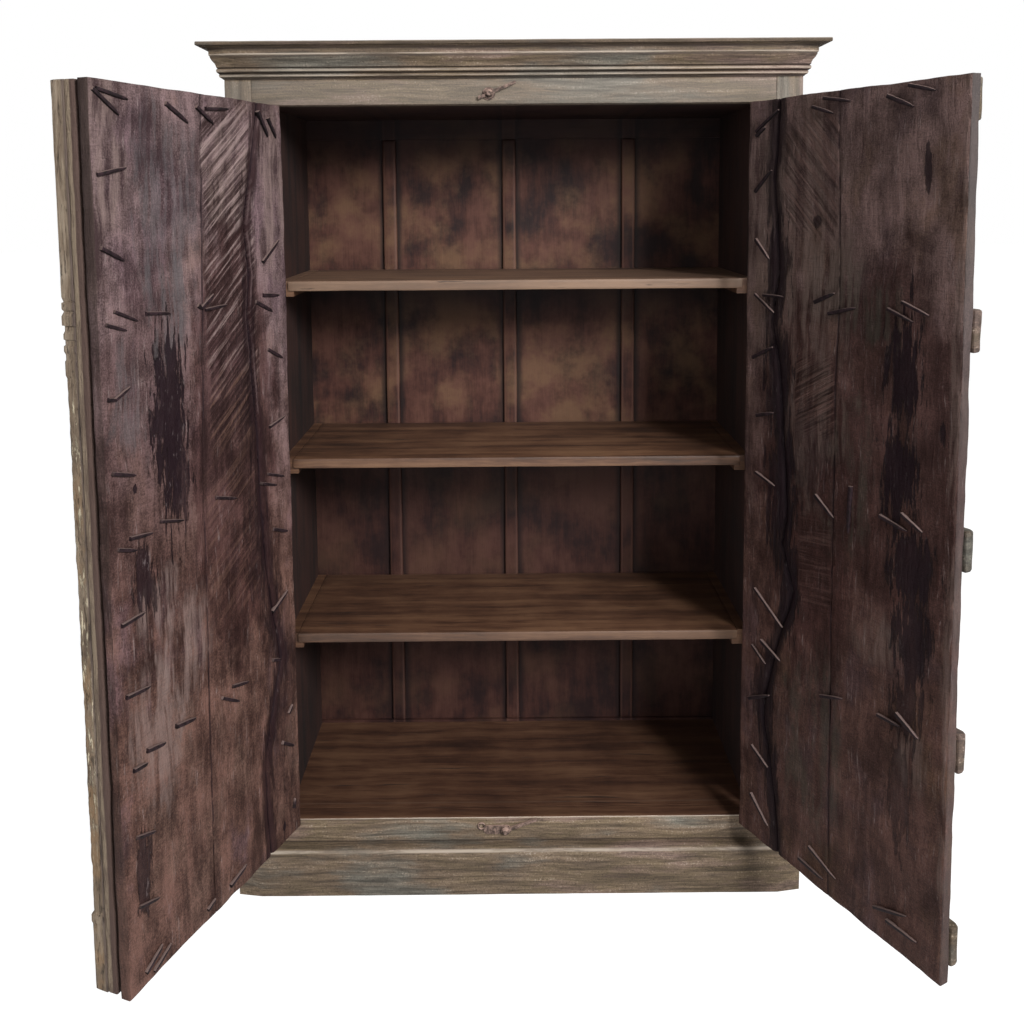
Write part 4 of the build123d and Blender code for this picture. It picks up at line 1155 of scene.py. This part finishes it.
NAILS = {       # each bent tip's start and end on the inner face, as (out, up, out, up) in millimetres
    "left": (
        (526, 1729, 468, 1691), (518, 1730, 445, 1718), (354, 1720, 295, 1689), (271, 1721, 222, 1692),
        (243, 1719, 174, 1724), (81, 1727, 49, 1678), (48, 1716, 21, 1677), (523, 1592, 456, 1605),
        (522, 1474, 470, 1450), (80, 1425, 22, 1468), (499, 1368, 444, 1346), (426, 1357, 361, 1351),
        (519, 1348, 472, 1333), (287, 1358, 277, 1350), (277, 1350, 240, 1374), (267, 1347, 201, 1350),
        (84, 1358, 26, 1353), (109, 1347, 52, 1322), (74, 1246, 20, 1220), (522, 1224, 506, 1221),
        (506, 1221, 470, 1237), (74, 1084, 19, 1096), (519, 1099, 465, 1083), (87, 988, 27, 968),
        (107, 973, 55, 956), (255, 985, 191, 966), (409, 985, 348, 969), (486, 978, 430, 971),
        (515, 968, 471, 953), (74, 867, 20, 846), (514, 835, 458, 838), (83, 691, 27, 718),
        (89, 589, 60, 578), (510, 707, 452, 701), (224, 594, 173, 581), (259, 587, 204, 554),
        (390, 595, 337, 585), (467, 589, 420, 580), (502, 571, 467, 567), (62, 393, 21, 365),
        (36, 446, 22, 460), (27, 225, 23, 245), (503, 449, 455, 433), (503, 321, 452, 305),
        (253, 193, 200, 205), (324, 191, 300, 199), (494, 190, 450, 213), (474, 178, 428, 199),
    ),
    "right": (
        (22, 1683, 87, 1722), (23, 1674, 49, 1690), (209, 1734, 276, 1723), (181, 1720, 234, 1704),
        (362, 1724, 419, 1701), (408, 1738, 463, 1724), (22, 1560, 70, 1603), (26, 1462, 67, 1423),
        (27, 1348, 84, 1314), (52, 1348, 110, 1349), (197, 1346, 247, 1367), (234, 1327, 300, 1344),
        (376, 1349, 432, 1331), (407, 1364, 465, 1345), (23, 1215, 81, 1243), (38, 1094, 87, 1108),
        (38, 972, 96, 956), (210, 967, 259, 934), (300, 1007, 297, 916), (371, 970, 433, 959),
        (419, 987, 466, 966), (40, 720, 126, 665), (35, 593, 78, 567), (62, 613, 121, 591),
        (237, 568, 293, 587), (28, 470, 90, 503), (379, 595, 432, 597), (421, 617, 471, 592),
        (39, 368, 90, 343), (38, 259, 93, 214), (214, 239, 288, 214), (187, 198, 255, 193),
        (384, 219, 458, 248), (414, 212, 483, 214),
    ),
}


class CABINET_OT_nails(DressingOperator):
    """Makes the forged nails: their bent tips inside and their heads on the ledges"""
    bl_idname = "cabinet.nails"
    bl_label = "Make nails"

    COLUMNS = (0.061, 0.278, 0.499, 0.693, 0.877)       # the heads' places, as shares of the leaf's width
    STAGGER = 0.016         # how far the heads stand above or below a ledge's middle
    HEAD_RADIUS = 0.009
    TIP_PROUD = 0.0050      # clears the shelves and the jambs when a leaf is closed
    TIP_DEEP = 0.0040       # how far a tip's start goes into the plank

    def execute(self, context):
        sizes = context.scene.cabinet_sizes
        chance = random.Random(SEED)
        tip = self.forged_tip(sizes.nail)
        head = self.domed_head()
        for side in SIDES:
            through = THROUGH[side]
            flip = Matrix.Diagonal((1, through, 1, 1))
            pieces = []
            for out_a, up_a, out_b, up_b in NAILS[side]:
                start = (sizes.leaf_start + out_a / 1000, through * sizes.plank_inner, up_a / 1000)
                run = Vector(((out_b - out_a) / 1000, 0, (up_b - up_a) / 1000))
                turn = Matrix.Rotation(-math.atan2(run.z, run.x), 4, "Y")
                size = Matrix.Diagonal((run.length, 1, chance.uniform(0.85, 1.2), 1))
                nail = copy_of(tip, "nail")
                settle(nail, Matrix.Translation(start) @ turn @ flip @ size)
                pieces.append(nail)
            for level in ledge_levels(side):
                for k, column in enumerate(self.COLUMNS):
                    up = level + (self.STAGGER if k % 2 else -self.STAGGER)
                    place = (sizes.leaf_start + column * sizes.leaf_width, through * sizes.ledge_outer, up)
                    stud = copy_of(head, "stud")
                    spin = Matrix.Rotation(chance.uniform(0, 6), 4, "Y")
                    size = Matrix.Scale(chance.uniform(0.85, 1), 4)
                    settle(stud, Matrix.Translation(place) @ flip @ spin @ size)
                    pieces.append(stud)
            piece = join(pieces, f"forged_{side}_nails")
            edit_all(piece)
            bpy.ops.mesh.normals_make_consistent(inside=False)
            done()
            smooth(piece, 40)
            hang(piece, side, "iron", MATERIALS["iron"], "nails")
        for pattern in (tip, head):
            bpy.data.objects.remove(pattern)
        return {"FINISHED"}

    def forged_tip(self, thickness):
        """A nail's bent tip, one unit long in x: it leaves the wood at 0, lies along it and thins out."""
        r = thickness / 2
        nail = bar("tip", (0.0, -self.TIP_DEEP, -r), (1.0, self.TIP_PROUD, r))
        slice_up(nail, X, (0.12, 0.35, 0.6, 0.85))
        for place, size in ((0.85, 0.75), (1.0, 0.38)):
            pick(nail, lambda co: abs(co.x - place) < 0.01)
            bpy.ops.transform.resize(value=(1, 1, size), center_override=(place, 0, 0))
            done()
        shift_where(nail, lambda co: co.x > 0.3 and co.y < 0, (0, 0.0035, 0))
        shift_where(nail, lambda co: co.x > 0.99 and co.y > 0, (0, -0.0020, 0))
        round_arrises(nail, r * 0.45)
        return nail

    def domed_head(self):
        """A hammered nail head on a ledge, its crown towards -Y."""
        deselect()
        bpy.ops.mesh.primitive_uv_sphere_add(segments=12, ring_count=8, radius=self.HEAD_RADIUS)
        head = bpy.context.object
        edit_all(head)
        bpy.ops.mesh.bisect(plane_co=(0, 0, 0), plane_no=(0, 1, 0), clear_outer=True, use_fill=True)
        bpy.ops.mesh.select_all(action="SELECT")
        bpy.ops.transform.resize(value=(1, 0.45, 1), center_override=(0, 0, 0))
        done()
        roughen(head, 0.008, 0.002)
        return head


class CABINET_OT_cover_post(DressingOperator):
    """Makes the carved cover post on the left leaf"""
    bl_idname = "cabinet.cover_post"
    bl_label = "Make cover post"

    RINGS = (       # foot and top of each ring, how far it stands proud of the shaft
        (0.168, 0.292, 0.0020), (0.296, 0.309, 0.0035), (1.262, 1.286, 0.0015), (1.302, 1.312, 0.0020),
        (1.322, 1.332, 0.0020), (1.345, 1.362, 0.0030), (1.372, 1.384, 0.0025), (1.392, 1.745, 0.0020),
    )
    SHAFT = (0.31, 1.262)       # foot and top of the rough shaft between the rings
    SET_BACK = 0.003            # the shaft keeps this far inside the post's full size

    def execute(self, context):
        sizes = context.scene.cabinet_sizes
        end = sizes.leaf_start + sizes.leaf_width
        start = end - sizes.cover_width
        back = sizes.ledge_outer - 0.0003
        front = sizes.ledge_outer - sizes.cover_depth
        foot, head = (corner.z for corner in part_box("left_door_cover_post"))
        post = bar("carved_cover_post", (start, front + self.SET_BACK, foot),
                   (end - self.SET_BACK, back, head))
        slice_up(post, X, spaced(start, end, 0.012))
        slice_up(post, Y, spaced(front, back, 0.010))
        bevel_where(post, lambda co: co.y < front + 0.004 and (co.x < start + 0.001 or co.x > end - 0.004),
                    0.006, 3)
        slice_up(post, Z, spaced(foot, head, 0.008))
        slice_up(post, Z, [place for low, high, _ in self.RINGS for place in (low + 0.0008, high - 0.0008)])
        for low, high, proud in self.RINGS:
            shift_where(post, lambda co: low < co.z < high and co.x > end - 0.0045, (proud, 0, 0))
            shift_where(post, lambda co: low < co.z < high and co.y < front + 0.008, (0, -proud, 0))
        finer(post, 1)
        self.mark_shaft(post, back - 0.004)
        roughen(post, 0.02, 0.0030, "NORMAL", "shaft")
        roughen(post, 0.07, 0.0022)
        smooth(post, 40)
        hang(post, "left", "carved_wood", self.flaking_wood(context.scene.cabinet_finish), "cover_post")
        return {"FINISHED"}

    def mark_shaft(self, post, deepest):
        """A vertex group that is 1 on the shaft's outer faces and fades out towards the rings."""
        shaft = post.vertex_groups.new(name="shaft")
        foot, top = self.SHAFT
        for vertex in post.data.vertices:
            _, y, z = vertex.co
            depth = min(1.0, max(0.0, (z - foot) / 0.05)) * min(1.0, max(0.0, (top - z) / 0.03))
            shaft.add([vertex.index], depth if y < deepest else 0.0, "REPLACE")

    def flaking_wood(self, finish):
        """Old wood with flakes of cream paint, most of them on the shaft."""
        tones = ((0.0, (0.060, 0.040, 0.028)), (0.5, (0.190, 0.140, 0.098)), (1.0, (0.36, 0.29, 0.22)))
        wood = Wood("flaking_wood", "z", tones, *leaf_turn("left"))
        _, y, z = wood.axes(wood.at)
        flakes = wood.noise(wood.at, (150, 150, 26), 6.0, 0.72)
        shaft = wood.between(z, 0.34, 0.60) * wood.between(z, 1.27, 1.20)
        back = wood.between(y, 0.000, 0.006)
        wood.over(back * 0.75, (0.095, 0.070, 0.062))
        tan = wood.between(wood.noise(wood.at, 14.0, 4.0, 0.6), 0.42, 0.6) * wood.between(z, 1.3, 0.9)
        wood.over(tan * 0.55 * (1 - back), (0.27, 0.165, 0.085))
        cream = wood.between(flakes, 0.53, 0.60) * (0.12 + shaft * 0.8) * (1 - back)
        wood.over(cream, finish.cream)
        grime = wood.between(flakes, 0.43, 0.34)
        wood.over(grime * 0.6, (0.035, 0.024, 0.016))
        wood.height = wood.height + cream * 0.8 - grime
        return wood.finished(0.003, 0.25)


# ---------------------------------------------------------------- stage


class CABINET_OT_stage(DressingOperator):
    """Sets the floor, the lights and the camera"""
    bl_idname = "cabinet.stage"
    bl_label = "Set the stage"

    LENS = 35.74
    EYE = (-0.0141, -2.3762, 1.5460)
    YAW = 0.0030
    PITCH = 0.0982
    ROLL = -0.0072
    SHIFT = -0.2065
    LAMPS = (       # name, place, aim, size, power
        ("key", (2.3, -3.9, 3.2), (0, 0, 0.9), 1.6, 330.0),
        ("fill", (-2.4, -4.2, 2.2), (0, 0, 1.0), 2.4, 26.0),
    )

    def execute(self, context):
        self.floor()
        self.sky(context.scene)
        for lamp in self.LAMPS:
            self.light(*lamp)
        self.camera(context.scene)
        context.scene.view_settings.view_transform = "Standard"
        return {"FINISHED"}

    def floor(self):
        """A matt floor that the camera sees as nearly white, so that only shadows show on it."""
        deselect()
        bpy.ops.mesh.primitive_plane_add(size=60)
        floor = bpy.context.object
        floor.name = "floor"
        f = Finish("pale_floor")
        f.put(f.surface, {"Base Color": (0.93, 0.93, 0.93, 1), "Roughness": 0.9, "Specular IOR Level": 0.1})
        seen = f.node("ShaderNodeLightPath", {}, {}, "Is Camera Ray")
        glow = f.node("ShaderNodeEmission", {}, {"Color": (1, 1, 1, 1), "Strength": 1.2})
        lit = Value(f, f.surface.outputs[0])
        mixed = f.node("ShaderNodeMixShader", {}, {0: seen * 0.82, 1: lit, 2: glow})
        f.put(f.tree.nodes["Material Output"], {"Surface": mixed})
        floor.data.materials.append(f.material)

    def sky(self, scene):
        """A white room that is bright to the camera and in reflections, and dim as a light."""
        scene.world = bpy.data.worlds.new("studio")
        scene.world.use_nodes = True
        sky = NodeTree(scene.world.node_tree)
        camera = sky.node("ShaderNodeLightPath", {}, {}, "Is Camera Ray")
        glossy = sky.node("ShaderNodeLightPath", {}, {}, "Is Glossy Ray")
        level = sky.node("ShaderNodeMapRange", {},
                         {"Value": sky.math("MAXIMUM", camera, glossy), "To Min": 0.13, "To Max": 1.0})
        sky.put(sky.tree.nodes["Background"], {"Color": (1, 1, 1, 1), "Strength": level})

    def light(self, name, place, aim, size, power):
        deselect()
        bpy.ops.object.light_add(type="AREA", location=place)
        lamp = bpy.context.object
        lamp.name = name
        lamp.data.shape = "DISK"
        lamp.data.size = size
        lamp.data.energy = power
        lamp.rotation_euler = (Vector(aim) - Vector(place)).to_track_quat("-Z", "Y").to_euler()
        lamp.visible_camera = False

    def camera(self, scene):
        deselect()
        bpy.ops.object.camera_add(location=self.EYE)
        camera = bpy.context.object
        ahead = Vector((math.sin(self.YAW) * math.cos(self.PITCH), math.cos(self.YAW) * math.cos(self.PITCH),
                        -math.sin(self.PITCH)))
        level = Vector((math.cos(self.YAW), -math.sin(self.YAW), 0))
        up = level.cross(ahead)
        right = level * math.cos(self.ROLL) + up * math.sin(self.ROLL)
        up = up * math.cos(self.ROLL) - level * math.sin(self.ROLL)
        camera.matrix_world = Matrix.Translation(self.EYE) @ Matrix((right, up, -ahead)).transposed().to_4x4()
        camera.data.lens = self.LENS
        camera.data.sensor_width = 36.0
        camera.data.shift_y = self.SHIFT
        camera.data.clip_start = 0.05
        scene.camera = camera


STEPS = ("finishes", "carcass", "mouldings", "inside", "planks", "ledges", "nails", "cover_post", "stage")


class CABINET_PT_dressing(bpy.types.Panel):
    """The steps that dress the cabinet, in order"""
    bl_label = "Trastero Cabinet"
    bl_idname = "CABINET_PT_dressing"
    bl_space_type = "VIEW_3D"
    bl_region_type = "UI"
    bl_category = "Cabinet"

    def draw(self, context):
        for step in STEPS:
            self.layout.operator(f"cabinet.{step}")


CLASSES = (CabinetSizes, CabinetFinish, CABINET_OT_finishes, CABINET_OT_carcass, CABINET_OT_mouldings,
           CABINET_OT_inside, CABINET_OT_planks, CABINET_OT_ledges, CABINET_OT_nails, CABINET_OT_cover_post,
           CABINET_OT_stage, CABINET_PT_dressing)


def register():
    for cls in CLASSES:
        bpy.utils.register_class(cls)
    bpy.types.Scene.cabinet_sizes = PointerProperty(type=CabinetSizes)
    bpy.types.Scene.cabinet_finish = PointerProperty(type=CabinetFinish)


def unregister():
    del bpy.types.Scene.cabinet_finish
    del bpy.types.Scene.cabinet_sizes
    for cls in reversed(CLASSES):
        bpy.utils.unregister_class(cls)


def main():
    register()
    for step in STEPS:
        getattr(bpy.ops.cabinet, step)()


if __name__ == "__main__":
    main()
